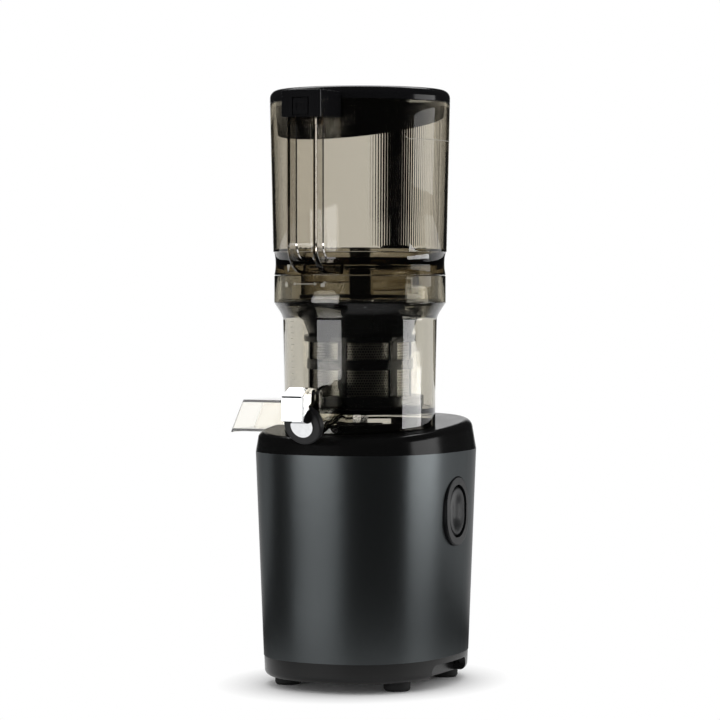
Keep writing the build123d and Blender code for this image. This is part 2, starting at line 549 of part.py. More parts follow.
def make_rocker():
    """Rocker of the switch, with a dished face, on a round boss at its back."""
    x = side_x(SWITCH_Z)
    pad = switch_slot(ROCKER_WIDTH, ROCKER_HEIGHT, ROCKER_PROUD, ROCKER_DEPTH)
    dish = Pos(x + ROCKER_PROUD - ROCKER_DISH + ROCKER_DISH_R, SWITCH_Y, SWITCH_Z) * Rot(90, 0, 0)
    pad -= dish * Cylinder(ROCKER_DISH_R, ROCKER_WIDTH - 7)
    axle = Cylinder(ROCKER_AXLE_R, ROCKER_WIDTH - 10)
    return pad + Pos(x - ROCKER_AXLE_DEPTH, SWITCH_Y, SWITCH_Z) * Rot(90, 0, 0) * axle


def make_switch_body():
    """Switch behind the rocker, hollowed where the rocker tips, with its contact tags."""
    back = BEZEL_DEPTH + SWITCH_BODY_DEPTH
    case = switch_slot(ROCKER_WIDTH + 4, ROCKER_HEIGHT + 6, -BEZEL_DEPTH, back)
    case -= switch_slot(ROCKER_WIDTH, ROCKER_HEIGHT + 1, 0, BEZEL_DEPTH + 5)
    x = side_x(SWITCH_Z) - back
    tags = []
    for z in (-SWITCH_TAG_PITCH, 0, SWITCH_TAG_PITCH):
        low = (x - SWITCH_TAG, SWITCH_Y - 3, SWITCH_Z + z - 0.4)
        tags.append(block(low, (x + 0.1, SWITCH_Y + 3, SWITCH_Z + z + 0.4)))
    return joined([case, *tags])


# ---------------------------------------------------------------- motor and gear train
def involute(angle):
    """The involute function."""
    return tan(angle) - angle


def gear(teeth, module, low, width, tooth_at=0.0, flank_points=3):
    """A spur gear about the drive axis, with a tooth at the plan angle tooth_at in degrees."""
    pitch_r = module * teeth / 2
    base_r = pitch_r * cos(PRESSURE_ANGLE)
    root_r = pitch_r - 1.25 * module
    tip_r = pitch_r + module
    thickness = pi * module / 2 - BACKLASH / 2
    start_r = max(base_r, root_r)
    radii = [start_r + (tip_r - start_r) * i / (flank_points - 1) for i in range(flank_points)]

    def half_angle(radius):
        turn = acos(min(1.0, base_r / radius))
        return thickness / (2 * pitch_r) + involute(PRESSURE_ANGLE) - involute(turn)

    flank = [(r, half_angle(r)) for r in radii]
    if root_r < base_r:
        flank.insert(0, (root_r, flank[0][1]))
    points = []
    for tooth in range(teeth):
        middle = radians(tooth_at) + 2 * pi * tooth / teeth
        side = [(r, middle - a) for r, a in flank] + [(r, middle + a) for r, a in reversed(flank)]
        points += [(r * cos(a), r * sin(a)) for r, a in side]
    return Pos(0, 0, low) * extrude(make_face(Polyline(*points, close=True)), width)


def space_angle(teeth, at):
    """Where to put a tooth so that a space between teeth faces the plan angle at."""
    return at + 180 / teeth


def make_stator():
    """Laminated ring of the motor, with slots round its bore."""
    core = ring(MOTOR_R, STATOR_BORE_R, STATOR_LOW_Z, STATOR_HIGH_Z)
    half = STATOR_SLOT_WIDTH / 2
    low = (STATOR_BORE_R - 2, -half, STATOR_LOW_Z - PAST)
    slot = block(low, (MOTOR_R - STATOR_YOKE, half, STATOR_HIGH_Z + PAST))
    return core - [Rot(0, 0, angle) * slot for angle in turn_by(STATOR_SLOTS)]


def make_windings():
    """Copper end turns at both ends of the stator."""
    outer, inner = MOTOR_R - STATOR_YOKE + 1, STATOR_BORE_R + 3
    turns = []
    for z, way in ((STATOR_LOW_Z, -1), (STATOR_HIGH_Z, 1)):
        end = z + way * WINDING_HEIGHT
        turns.append(
            turned((inner, z), (inner + 1, end), (outer - 2, end), (outer, z + 3 * way), (outer, z))
        )
    return turns


def make_bracket():
    """Lower motor bracket: a spider with the bearing seat and a rim under the stator."""
    low = BRACKET_LOW_Z
    seat_low = low - BRACKET_SEAT
    rim = ring(MOTOR_R, MOTOR_R - MOTOR_RIM, low, STATOR_LOW_Z)
    seat = ring(BALL_RACE_R + 3, BALL_RACE_R + PRESS_GAP, seat_low, seat_low + BALL_RACE_WIDTH)
    arm = block((BALL_RACE_R + 2, -4, low), (MOTOR_R - 2, 4, low + 3))
    return joined([rim, seat, *[Rot(0, 0, angle) * arm for angle in turn_by(4, 45)]])


def housing_outline(grow):
    """Plan outline round both gear axes."""
    radius = GEAR_ROOM_R + grow
    left = Line((-radius, 0), (-radius, LAYSHAFT_Y))
    right = Line((radius, 0), (radius, LAYSHAFT_Y))
    front = CenterArc((0, 0), radius, 180, 180)
    back = CenterArc((0, LAYSHAFT_Y), radius, 0, 180)
    return make_face([left, back, right, front])


def make_housing():
    """Gearbox housing: bearing seats below, a wall round the gears and a rim on the stator."""
    high = GEARCASE_LID_Z
    outer = Pos(0, 0, HOUSING_LOW_Z) * extrude(housing_outline(HOUSING_WALL), high - HOUSING_LOW_Z)
    floor_z = HOUSING_LOW_Z + HOUSING_FLOOR
    inner = Pos(0, 0, floor_z) * extrude(housing_outline(0), high - floor_z + PAST)
    rim = ring(MOTOR_R, MOTOR_R - MOTOR_RIM, STATOR_HIGH_Z, HOUSING_LOW_Z + 4)
    seat = disc(BALL_RACE_R + PRESS_GAP, HOUSING_LOW_Z - PAST, HOUSING_LOW_Z + BALL_RACE_WIDTH)
    way = disc(MOTOR_SHAFT_R + 2, HOUSING_LOW_Z, floor_z + PAST)
    lay_low = floor_z - BALL_RACE_WIDTH
    lay_seat = disc(BALL_RACE_R + PRESS_GAP, lay_low, floor_z + PAST, 0, LAYSHAFT_Y)
    ears = [disc(POST_R, high - EAR, high, x, y) - inner for x, y in POST_PLACES]
    housing = joined([outer - inner, rim - inner, *ears]) - seat - way - lay_seat
    return housing - screw_ways()


def screw_ways():
    """Holes for the case screws, right through the gearbox."""
    radius = SCREW_STEM_R + SLIDE_GAP / 2
    return [disc(radius, HOUSING_LOW_Z, DAMPER_Z + PAST, x, y) for x, y in POST_PLACES]


def make_gearcase_lid():
    """Gearbox cover with a tower that holds the drive shaft's two bearings."""
    low = GEARCASE_LID_Z
    plate = Pos(0, 0, low) * extrude(housing_outline(HOUSING_WALL), GEARCASE_LID)
    tower = disc(TOWER_R, low, TOWER_HIGH_Z)
    foot = (TOWER_R - 1, low + GEARCASE_LID / 2)
    points = [foot, (foot[0] + TOWER_RIB_REACH, foot[1]), (foot[0], TOWER_HIGH_Z - 8)]
    rib = extrude(make_face(Plane.XZ * Polyline(*points, close=True)), TOWER_RIB_HALF, both=True)
    ribs = [Rot(0, 0, angle) * rib for angle in turn_by(TOWER_RIBS, 30)]
    ears = [disc(POST_R, low, DAMPER_Z, x, y) for x, y in POST_PLACES]
    way = disc(DRIVE_SHAFT_R + 2, low - PAST, TOWER_HIGH_Z + PAST)
    for race_low in output_race_heights():
        way += disc(OUTPUT_RACE_R + PRESS_GAP, race_low, race_low + OUTPUT_RACE_WIDTH)
    lay = disc(BALL_RACE_R + PRESS_GAP, low - PAST, low + LAY_RACE_WIDTH, 0, LAYSHAFT_Y)
    return joined([plate, tower, *ribs, *ears]) - way - lay - screw_ways()


def output_race_heights():
    """Lower faces of the drive shaft's two bearings, flush with the tower's ends."""
    return [GEARCASE_LID_Z, TOWER_HIGH_Z - OUTPUT_RACE_WIDTH]


def race(outer, bore, low, width, x=0.0, y=0.0):
    """A sealed ball bearing: a ring with a shallow groove for the shield on both faces."""
    body = ring(outer, bore + RUN_GAP, low, low + width, x, y)
    middle = (outer + bore) / 2
    for z in (low - 1, low + width - 0.4):
        body -= ring(middle + 1.6, middle - 1.6, z, z + 1.4, x, y)
    return body


def make_rotor_bearings():
    """Two bearings on the motor shaft, in the bracket and in the gearbox housing."""
    heights = (BRACKET_LOW_Z - BRACKET_SEAT, HOUSING_LOW_Z)
    return [race(BALL_RACE_R, MOTOR_SHAFT_R, low, BALL_RACE_WIDTH) for low in heights]


def make_layshaft_bearings():
    """Two bearings on the layshaft, in the gearbox housing and its cover."""
    low = HOUSING_LOW_Z + HOUSING_FLOOR - BALL_RACE_WIDTH
    pair = [race(BALL_RACE_R, LAYSHAFT_R, low, BALL_RACE_WIDTH, 0, LAYSHAFT_Y)]
    pair.append(race(BALL_RACE_R, LAYSHAFT_R, GEARCASE_LID_Z, LAY_RACE_WIDTH, 0, LAYSHAFT_Y))
    return pair


def make_output_bearings():
    """Two bearings on the drive shaft, in the tower."""
    return [race(OUTPUT_RACE_R, DRIVE_SHAFT_R, z, OUTPUT_RACE_WIDTH) for z in output_race_heights()]


def make_shaft_seal():
    """Lip seal round the drive shaft, in the mouth of the cover."""
    low, high = SEAL_LOW_Z, SEAL_LOW_Z + SEAL_HEIGHT
    lip = DRIVE_SHAFT_R + RUN_GAP
    points = [(SEAL_R, low), (SEAL_R, high), (lip + 3, high), (lip, high - 2), (lip, high - 3.5)]
    points += [(lip + 4, high - 3), (lip + 5, low)]
    return turned(*points)


def make_rotor():
    """Motor rotor: laminated core with an end ring at both ends."""
    core = ring(ROTOR_R, MOTOR_SHAFT_R + PRESS_GAP, STATOR_LOW_Z, STATOR_HIGH_Z)
    for low in (STATOR_LOW_Z - 3, STATOR_HIGH_Z):
        core += ring(ROTOR_R - 2, ROTOR_R - 9, low, low + 3)
    return core


def make_motor_shaft():
    """Motor shaft with the first pinion cut on its upper end."""
    shaft = disc(MOTOR_SHAFT_R, FAN_HIGH_Z - FAN_HEIGHT - 1, FIRST_LOW_Z)
    return shaft + gear(SMALL_TEETH, FIRST_MODULE, FIRST_LOW_Z, FIRST_WIDTH, 90.0)


def make_fan():
    """Cooling fan under the motor, on the motor shaft."""
    low, high = FAN_HIGH_Z - FAN_HEIGHT, FAN_HIGH_Z
    hub = ring(FAN_HUB_R, MOTOR_SHAFT_R + PRESS_GAP, low, high)
    plate = ring(FAN_R, MOTOR_SHAFT_R + PRESS_GAP, high - FAN_BLADE, high)
    blade = block((FAN_HUB_R - 1, -FAN_BLADE / 2, low), (FAN_R, FAN_BLADE / 2, high - 1))
    return joined([hub, plate, *[Rot(0, 0, angle) * blade for angle in turn_by(FAN_BLADES)]])


def make_lay_gear():
    """Large first gear, pressed on the layshaft, thinned between its hub and its teeth."""
    low, high = FIRST_LOW_Z, FIRST_LOW_Z + FIRST_WIDTH
    wheel = gear(FIRST_TEETH, FIRST_MODULE, low, FIRST_WIDTH, space_angle(FIRST_TEETH, 270))
    rim, hub, web = FIRST_MODULE * FIRST_TEETH / 2 - GEAR_RIM, 10.0, FIRST_WIDTH / 4
    wheel -= ring(rim, hub, low - PAST, low + web)
    wheel -= ring(rim, hub, high - web, high + PAST)
    wheel -= disc(LAYSHAFT_R + PRESS_GAP, low - PAST, high + PAST)
    return Pos(0, LAYSHAFT_Y, 0) * wheel


def make_lay_pinion():
    """Layshaft with the second pinion cut on it."""
    low = HOUSING_LOW_Z + HOUSING_FLOOR - BALL_RACE_WIDTH
    tooth_at = space_angle(SMALL_TEETH, 270)
    pinion = gear(SMALL_TEETH, SECOND_MODULE, SECOND_LOW_Z, SECOND_WIDTH, tooth_at)
    collar = disc(LAYSHAFT_COLLAR_R, FIRST_LOW_Z + FIRST_WIDTH, SECOND_LOW_Z)
    shaft = disc(LAYSHAFT_R, low, GEARCASE_LID_Z + LAY_RACE_WIDTH - 0.5)
    return Pos(0, LAYSHAFT_Y, 0) * joined([pinion, collar, shaft])


def make_output_gear():
    """Large second gear, pressed on the drive shaft, thinned and pierced between hub and teeth."""
    low, high = SECOND_LOW_Z, SECOND_LOW_Z + SECOND_WIDTH
    wheel = gear(SECOND_TEETH, SECOND_MODULE, low, SECOND_WIDTH, 90.0)
    rim, hub = SECOND_MODULE * SECOND_TEETH / 2 - GEAR_RIM, DRIVE_SHAFT_R + 6.0
    wheel -= ring(rim, hub, high - 4, high + PAST)
    wheel -= ring(rim, hub, low - PAST, low + 4)
    hole = disc(GEAR_HOLE_R, low - PAST, high + PAST, GEAR_HOLE_PLACE_R)
    wheel -= [Rot(0, 0, angle) * hole for angle in turn_by(GEAR_HOLES, 30)]
    return wheel - disc(DRIVE_SHAFT_R + PRESS_GAP, low - PAST, high + PAST)


def hexagon(across_flats, low, high):
    """A hexagonal bar about the drive axis."""
    flat = RegularPolygon(across_flats / 2, 6, major_radius=False)
    return Pos(0, 0, low) * extrude(flat, high - low)


def make_drive_shaft():
    """Drive shaft: round in its bearings, hexagonal where the screw sits."""
    round_part = disc(DRIVE_SHAFT_R, SECOND_LOW_Z, HEX_LOW_Z)
    hex_part = hexagon(HEX_ACROSS, HEX_LOW_Z, DRIVE_TOP_Z)
    return round_part + chamfer(hex_part.faces().sort_by(Axis.Z)[-1].edges(), 0.8)


def make_board():
    """Control board behind the motor, with its capacitor, relay, connector and heat sink."""
    half, face = BOARD_WIDTH / 2, BOARD_Y - BOARD_THICK / 2
    low = BOARD_LOW_Z
    board = block((-half, face, low), (half, BOARD_Y + BOARD_THICK / 2, low + BOARD_HEIGHT))
    cap = Cylinder(8, 14, align=(Align.CENTER, Align.CENTER, Align.MIN))
    cap = Pos(-14, face, low + 42) * Rot(90, 0, 0) * cap
    relay = block((4, face - 12, low + 34), (22, face, low + 50))
    plug = block((-20, face - 8, low + 6), (8, face, low + 16))
    sink = block((14, face - 9, low + 6), (26, face, low + 26))
    return joined([board, cap, relay, plug, sink])


def make_dampers():
    """Rubber dampers between the gearbox cover and the posts of the top cover."""
    inner = SCREW_STEM_R + SLIDE_GAP
    return [ring(POST_R + 2, inner, DAMPER_Z, DAMPER_Z + DAMPER, x, y) for x, y in POST_PLACES]


def make_case_screws():
    """Screws that hold the gearbox under the posts."""
    screws = []
    under = GEARCASE_LID_Z - EAR
    for x, y in POST_PLACES:
        head = disc(SCREW_HEAD_R, under - SCREW_HEAD, under, x, y)
        stem = disc(SCREW_STEM_R, under - SCREW_HEAD / 2, DAMPER_Z + DAMPER + SCREW_GRIP, x, y)
        screws.append(head + stem)
    return screws


# ---------------------------------------------------------------- drum
def spout_frame(back=0.0):
    """Plane across the juice spout, back mm behind its front end, with +Z out of the mouth."""
    out = Vector(0, -cos(SPOUT_SLOPE), -sin(SPOUT_SLOPE))
    return Plane(origin=Vector(*SPOUT_END) - out * back, x_dir=(1, 0, 0), z_dir=out)


def spout_rod(radius, back, length):
    """A rod along the juice spout, from back mm behind its front end, towards the drum."""
    rod = Cylinder(radius, length, align=(Align.CENTER, Align.CENTER, Align.MAX))
    return spout_frame(back) * rod


def spout_point(back, rise):
    """(y, z) of a point back mm behind the spout's front end and rise mm over its middle line."""
    y, z = SPOUT_END[1:]
    c, s = cos(SPOUT_SLOPE), sin(SPOUT_SLOPE)
    return (y + back * c - rise * s, z + back * s + rise * c)


CAP_HINGE_Y, CAP_HINGE_Z = spout_point(CAP_HINGE_BACK, CAP_HINGE_RISE)


def bowl_outside():
    """Outer side of the drum, from its rim to the foot of its skirt."""
    middle_r, middle_z = (COLLAR_R + DRUM_HIGH_R) / 2 - 0.5, (COLLAR_LOW_Z + DRUM_HIGH_Z) / 2 + 1
    flare = Spline(
        (COLLAR_R, COLLAR_LOW_Z),
        (middle_r, middle_z),
        (DRUM_HIGH_R, DRUM_HIGH_Z),
        tangents=[(-0.6, -1), (0, -1)],
    )
    return [
        Line((COLLAR_R, DRUM_TOP_Z), (COLLAR_R, COLLAR_LOW_Z)),
        flare,
        Line((DRUM_HIGH_R, DRUM_HIGH_Z), (DRUM_LOW_R, DRUM_LOW_Z)),
        Line((DRUM_LOW_R, DRUM_LOW_Z), (DRUM_LOW_R, DRUM_SKIRT_Z)),
    ]


def bowl_solid():
    """Everything inside the drum's outer side."""
    edges = bowl_outside()
    edges += [Line((DRUM_LOW_R, DRUM_SKIRT_Z), (0, DRUM_SKIRT_Z))]
    edges += [Line((0, DRUM_SKIRT_Z), (0, DRUM_TOP_Z)), Line((0, DRUM_TOP_Z), (COLLAR_R, DRUM_TOP_Z))]
    return revolve(make_face([Plane.XZ * edge for edge in edges]), Axis.Z)


def spout_bore():
    """The way for the juice, out of the chamber and through the spout."""
    bore = spout_rod(SPOUT_R - SPOUT_WALL, CAP_SEAL - 5, FAR + 10)
    return bore - disc(DRUM_LOW_R, DRUM_SKIRT_Z, CHAMBER_FLOOR_Z)


def make_bowl():
    """Clear juicing drum: collar with keepers, wall, chamber floor with its hub, and skirt."""
    inner_collar = COLLAR_R - COLLAR_WALL
    skirt_r = DRUM_LOW_R - CLEAR_WALL
    inside = [
        (DRUM_LOW_R, DRUM_SKIRT_Z),
        (skirt_r, DRUM_SKIRT_Z),
        (skirt_r, FLOOR_LOW_Z),
        (HUB_BORE_R, FLOOR_LOW_Z),
        (HUB_BORE_R, HUB_TOP_Z),
        (HUB_R, HUB_TOP_Z),
        (HUB_R, CHAMBER_FLOOR_Z),
        (skirt_r, CHAMBER_FLOOR_Z),
        (skirt_r, DRUM_LOW_Z),
        (DRUM_HIGH_R - CLEAR_WALL, DRUM_HIGH_Z - 1),
        (inner_collar - 3.5, SHOULDER_Z),
        (inner_collar, SHOULDER_Z),
        (inner_collar, DRUM_TOP_Z),
        (COLLAR_R, DRUM_TOP_Z),
    ]
    outline = bowl_outside() + [Line(a, b) for a, b in zip(inside, inside[1:])]
    shell = revolve(make_face([Plane.XZ * edge for edge in outline]), Axis.Z)
    inner = SPIGOT_R + SLIDE_GAP + 0.3
    stop_low = SHOULDER_Z + FUNNEL_FLANGE + SLIDE_GAP
    keepers = []
    for angle in turn_by(LUG_COUNT, LUG_ANGLE):
        keepers.append(wedge(inner_collar + 1, inner, KEEPER_LOW_Z, KEEPER_HIGH_Z, angle, LUG_SPREAD))
        stop_at = angle - LUG_SPREAD / 2 - STOP_SPREAD
        keepers.append(wedge(inner_collar + 1, inner, stop_low, KEEPER_HIGH_Z, stop_at, STOP_SPREAD))
    low = (-DRUM_LOW_R - PAST, CHUTE_LOW_Y, DRUM_SKIRT_Z - PAST)
    chute_way = block(low, (CHUTE_START_X, CHUTE_HIGH_Y, FLOOR_LOW_Z))
    low, high = FLOOR_LOW_Z - PAST, CHAMBER_FLOOR_Z + PAST
    hole = disc(PULP_HOLE_R, low, high, PULP_HOLE_X, PULP_HOLE_Y)
    shell = joined([shell, *keepers]) - spout_bore() - chute_way - hole
    return over_cover_plane(shell, -SEAT_GAP)


def make_spout():
    """Clear juice spout on the drum's wall, with the two ears of its cap."""
    tube = spout_rod(SPOUT_R, CAP_SEAL + CAP_FIT, FAR) - bowl_solid()
    ears = []
    for side in (-1, 1):
        x = side * (CAP_WIDTH / 2 + SLIDE_GAP + CAP_EAR / 2)
        ears.append(across(cap_ear_outline(), CAP_EAR / 2, x))
    pin_way = rod_x(CAP_PIN_R + PRESS_GAP, FAR, CAP_HINGE_Y, CAP_HINGE_Z)
    return over_cover_plane(joined([tube, *ears]) - spout_bore() - pin_way, -SEAT_GAP)


def cap_ear_outline():
    """Side view of one ear that carries the cap's pin."""
    high = CAP_HINGE_Z
    low = high - CAP_EAR_HEIGHT
    left = Line((CAP_HINGE_Y + CAP_BARREL_R, high), (CAP_HINGE_Y + CAP_BARREL_R + 3, low))
    right = Line((CAP_HINGE_Y - CAP_BARREL_R, high), (CAP_HINGE_Y - CAP_BARREL_R - 1, low))
    top = CenterArc((CAP_HINGE_Y, high), CAP_BARREL_R, 0, 180)
    return [left, top, right, Line(left @ 1, right @ 1)]


def make_chute():
    """Clear pulp chute: a duct from under the chamber's floor to a slanted mouth on the left."""
    low = (CHUTE_END_X - 2, CHUTE_LOW_Y, CHUTE_LOW_Z)
    duct = block(low, (CHUTE_START_X, CHUTE_HIGH_Y, CHUTE_HIGH_Z))
    bore_low = (CHUTE_END_X - 5, CHUTE_LOW_Y + CHUTE_WALL, CHUTE_LOW_Z + CHUTE_WALL)
    bore_high = (CHUTE_START_X - CHUTE_WALL, CHUTE_HIGH_Y - CHUTE_WALL, CHUTE_HIGH_Z - CHUTE_WALL)
    duct -= block(bore_low, bore_high)
    cut = [(CHUTE_END_X - 20, CHUTE_LOW_Z - 1), (CHUTE_END_X - 0.5, CHUTE_LOW_Z - 1)]
    cut += [(CHUTE_END_X + CHUTE_LIP + 0.5, CHUTE_HIGH_Z + 1), (CHUTE_END_X - 20, CHUTE_HIGH_Z + 1)]
    slant = extrude(make_face(Plane.XZ * Polyline(*cut, close=True)), 2 * FAR, both=True)
    lip = block(
        (CHUTE_END_X, CHUTE_LOW_Y, CHUTE_LOW_Z - 1.0),
        (CHUTE_END_X + CHUTE_WALL, CHUTE_HIGH_Y, CHUTE_LOW_Z + 1.0),
    )
    return duct - slant + lip - disc(DRUM_LOW_R, FLOOR_LOW_Z, DRUM_TOP_Z)


def make_bowl_gasket():
    """Silicone ring in the hub of the drum, round the drive shaft."""
    lip = HEX_CORNER_R + SLIDE_GAP
    low, high = CHAMBER_FLOOR_Z - 2, HUB_TOP_Z - 1
    outer = HUB_BORE_R - PRESS_GAP
    points = [(outer, low), (outer, high), (lip + 0.6, high), (lip, high - 1), (lip, low + 1)]
    return turned(*points, (lip + 0.6, low))


def make_pulp_packing():
    """Silicone ring in the pulp hole."""
    outer = PULP_HOLE_R - PRESS_GAP
    return ring(outer, outer - 2, FLOOR_LOW_Z, CHAMBER_FLOOR_Z, PULP_HOLE_X, PULP_HOLE_Y)


def make_frame():
    """Strainer frame: three rings joined by ribs, open between them."""
    bottom_high = STRAINER_LOW_Z + STRAINER_BOTTOM_H
    bottom = turned(
        (CAGE_BORE_R, STRAINER_LOW_Z),
        (STRAINER_BOTTOM_R - 1.5, STRAINER_LOW_Z),
        (STRAINER_BOTTOM_R, STRAINER_LOW_Z + 2),
        (STRAINER_BOTTOM_R, bottom_high),
        (CAGE_BORE_R, bottom_high),
    )
    top = ring(STRAINER_TOP_R, CAGE_BORE_R, STRAINER_HIGH_Z - STRAINER_TOP_H, STRAINER_HIGH_Z)
    mid = ring(STRAINER_MID_R, CAGE_BORE_R, STRAINER_MID_Z, STRAINER_MID_Z + STRAINER_MID_H)
    ribs = []
    spread = degrees(CAGE_RIB_WIDTH / CAGE_R)
    for angle in turn_by(CAGE_RIBS, CAGE_RIB_ANGLE):
        ribs.append(wedge(CAGE_R, CAGE_BORE_R, bottom_high - 1, STRAINER_HIGH_Z - 1, angle, spread))
    return joined([bottom, top, mid, *ribs])


def make_mesh():
    """Strainer sleeve of perforated steel, inside the frame. Its holes are too fine to model here."""
    outer = CAGE_BORE_R - PRESS_GAP
    return ring(outer, outer - MESH_WALL, STRAINER_LOW_Z + 3, STRAINER_HIGH_Z)


def make_funnel():
    """Black funnel on the strainer, with a flange that rests on the drum's shoulder."""
    flange = COLLAR_R - COLLAR_WALL - SLIDE_GAP
    low, high = STRAINER_HIGH_Z, SHOULDER_Z + FUNNEL_FLANGE
    inner = FUNNEL_LOW_R - FUNNEL_WALL + 0.4
    return turned(
        (FUNNEL_LOW_R, low),
        (FUNNEL_TOP_R, SHOULDER_Z - 0.3),
        (FUNNEL_TOP_R + 1, SHOULDER_Z),
        (flange, SHOULDER_Z),
        (flange, high),
        (FUNNEL_TOP_R - FUNNEL_WALL, high),
        (inner, low + 1.0),
        (inner, low),
    )


def make_cap_pin():
    """Steel pin of the cap's hinge."""
    half = CAP_WIDTH / 2 + SLIDE_GAP + CAP_EAR
    return rod_x(CAP_PIN_R, half, CAP_HINGE_Y, CAP_HINGE_Z)


def make_cap():
    """Chrome cap of the juice spout: a round face and a thick lever that hinges over it."""
    face = spout_frame(0) * Cylinder(CAP_DISC_R, CAP_DISC, align=(Align.CENTER, Align.CENTER, Align.MIN))
    points = [
        spout_point(-LEVER_PROUD, LEVER_LOW),
        spout_point(5.9 - LEVER_PROUD, LEVER_HEIGHT - 2.3),
        spout_point(4.2, LEVER_HEIGHT),
        spout_point(CAP_HINGE_BACK - 2.1, LEVER_HEIGHT - 4.8),
        (CAP_HINGE_Y + 1.5, CAP_HINGE_Z + 2.5),
        (CAP_HINGE_Y + 1.0, CAP_HINGE_Z - 2.5),
        spout_point(CAP_SEAL, CAP_SEAL_R + 0.9),
        spout_point(-0.4, CAP_SEAL_R + 0.6),
        spout_point(-CAP_DISC / 2, 3.0),
        spout_point(-7.0, 4.4),
    ]
    lever = across([Polyline(*points, close=True)], CAP_WIDTH / 2)
    outer_edges = lever.edges().filter_by(Axis.X).sort_by(Axis.Y)[:1]
    lever = fillet(outer_edges, 2.0)
    barrel = rod_x(CAP_BARREL_R, CAP_WIDTH / 2, CAP_HINGE_Y, CAP_HINGE_Z)
    cap = joined([lever, barrel, face]) - spout_rod(CAP_SEAL_R + 0.1, 0, CAP_SEAL + CAP_FIT)
    return cap - rod_x(CAP_PIN_R + RUN_GAP, FAR, CAP_HINGE_Y, CAP_HINGE_Z)


def make_cap_seal():
    """Black seal on the back of the cap, with a tapered plug that enters the spout."""
    plate = spout_rod(CAP_SEAL_R, 0, CAP_SEAL)
    front = plate.faces().filter_by(GeomType.PLANE).sort_by(Axis.Y)[0].edges()
    plate = fillet(front, 1.6)
    near = SPOUT_R - SPOUT_WALL - CAP_PLUG_GAP
    plug = Cone(near - CAP_PLUG_TAPER, near, CAP_PLUG, align=(Align.CENTER, Align.CENTER, Align.MAX))
    return plate + spout_frame(CAP_SEAL) * plug


# ---------------------------------------------------------------- screw
def make_screw():
    """Juicing screw: a tapered core with helical flights, hollow below for its steel bush."""
    height = SCREW_HIGH_Z - SCREW_LOW_Z
    bar = RectangleRounded(2 * SCREW_R + 6, FLIGHT_WIDTH, FLIGHT_WIDTH / 2 - 0.1)
    path = Line((0, 0, 0), (0, 0, height))
    guide = Helix(SCREW_PITCH * SCREW_STARTS, height, SCREW_R)
    flights = Pos(0, 0, SCREW_LOW_Z) * sweep(bar, path=path, binormal=guide)
    envelope = turned(
        (0, SCREW_LOW_Z),
        (SCREW_R, SCREW_LOW_Z),
        (SCREW_R, STRAINER_HIGH_Z),
        (SCREW_CORE_HIGH_R + 6, SCREW_HIGH_Z),
        (0, SCREW_HIGH_Z),
    )
    core = turned(
        (0, SCREW_LOW_Z),
        (SCREW_R - 1, SCREW_LOW_Z),
        (SCREW_R - 1, SCREW_LOW_Z + 3),
        (SCREW_CORE_LOW_R, SCREW_LOW_Z + 9),
        (SCREW_CORE_HIGH_R, SCREW_HIGH_Z),
        (SCREW_NECK_R, SCREW_HIGH_Z + 8),
        (SCREW_NECK_R, SCREW_NECK_Z),
        (0, SCREW_NECK_Z),
    )
    socket = disc(BUSH_R + PRESS_GAP, SCREW_LOW_Z - 1, BUSH_HIGH_Z)
    return core + (flights & envelope) - socket


def make_bush():
    """Steel bush in the screw, with the hexagonal socket for the drive shaft."""
    body = disc(BUSH_R, BUSH_LOW_Z, BUSH_HIGH_Z)
    return body - hexagon(HEX_ACROSS + 2 * BUSH_FIT, BUSH_LOW_Z - PAST, DRIVE_TOP_Z + 0.6)


def make_wing():
    """Feeding wing on top of the screw: a hub with two swept blades, toothed along their tops."""
    hub = disc(WING_HUB_R, SCREW_NECK_Z, WING_HIGH_Z)
    hub = chamfer(hub.edges().sort_by(Axis.Z)[-1:], 3)
    outer = ThreePointArc((8, 4), (WING_R * 0.55, 12), (WING_R, 2))
    inner = ThreePointArc((8, -3), (WING_R * 0.55, 6), (WING_R - 3, -1))
    ends = [Line(outer @ 0, inner @ 0), Line(outer @ 1, inner @ 1)]
    blade = extrude(make_face([outer, inner, *ends]), WING_HIGH_Z - WING_LOW_Z)
    blade = Pos(0, 0, WING_LOW_Z) * blade
    pitch = (WING_R - WING_HUB_R) / (WING_TEETH + 1)
    for tooth in range(1, WING_TEETH + 1):
        notch = Pos(WING_HUB_R + pitch * tooth, 0, WING_HIGH_Z) * Rot(0, 45, 0)
        blade -= notch * Box(WING_TOOTH * 2, 2 * FAR, WING_TOOTH * 2)
    return joined([hub, *[Rot(0, 0, angle + WING_TURN) * blade for angle in (0, 180)]])


# ---------------------------------------------------------------- hopper
def hopper_outline():
    """Outer side of the hopper from its foot to its rim."""
    foot, step = (HOPPER_FOOT_R, HOPPER_FOOT_Z), (HOPPER_FOOT_R, HOPPER_STEP_Z)
    return [
        ThreePointArc(foot, (NECK_R, NECK_Z), step),
        Line(step, (HOPPER_LOW_R, HOPPER_STEP_Z)),
        Line((HOPPER_LOW_R, HOPPER_STEP_Z), (HOPPER_TOP_R, HOPPER_TOP_Z)),
    ]


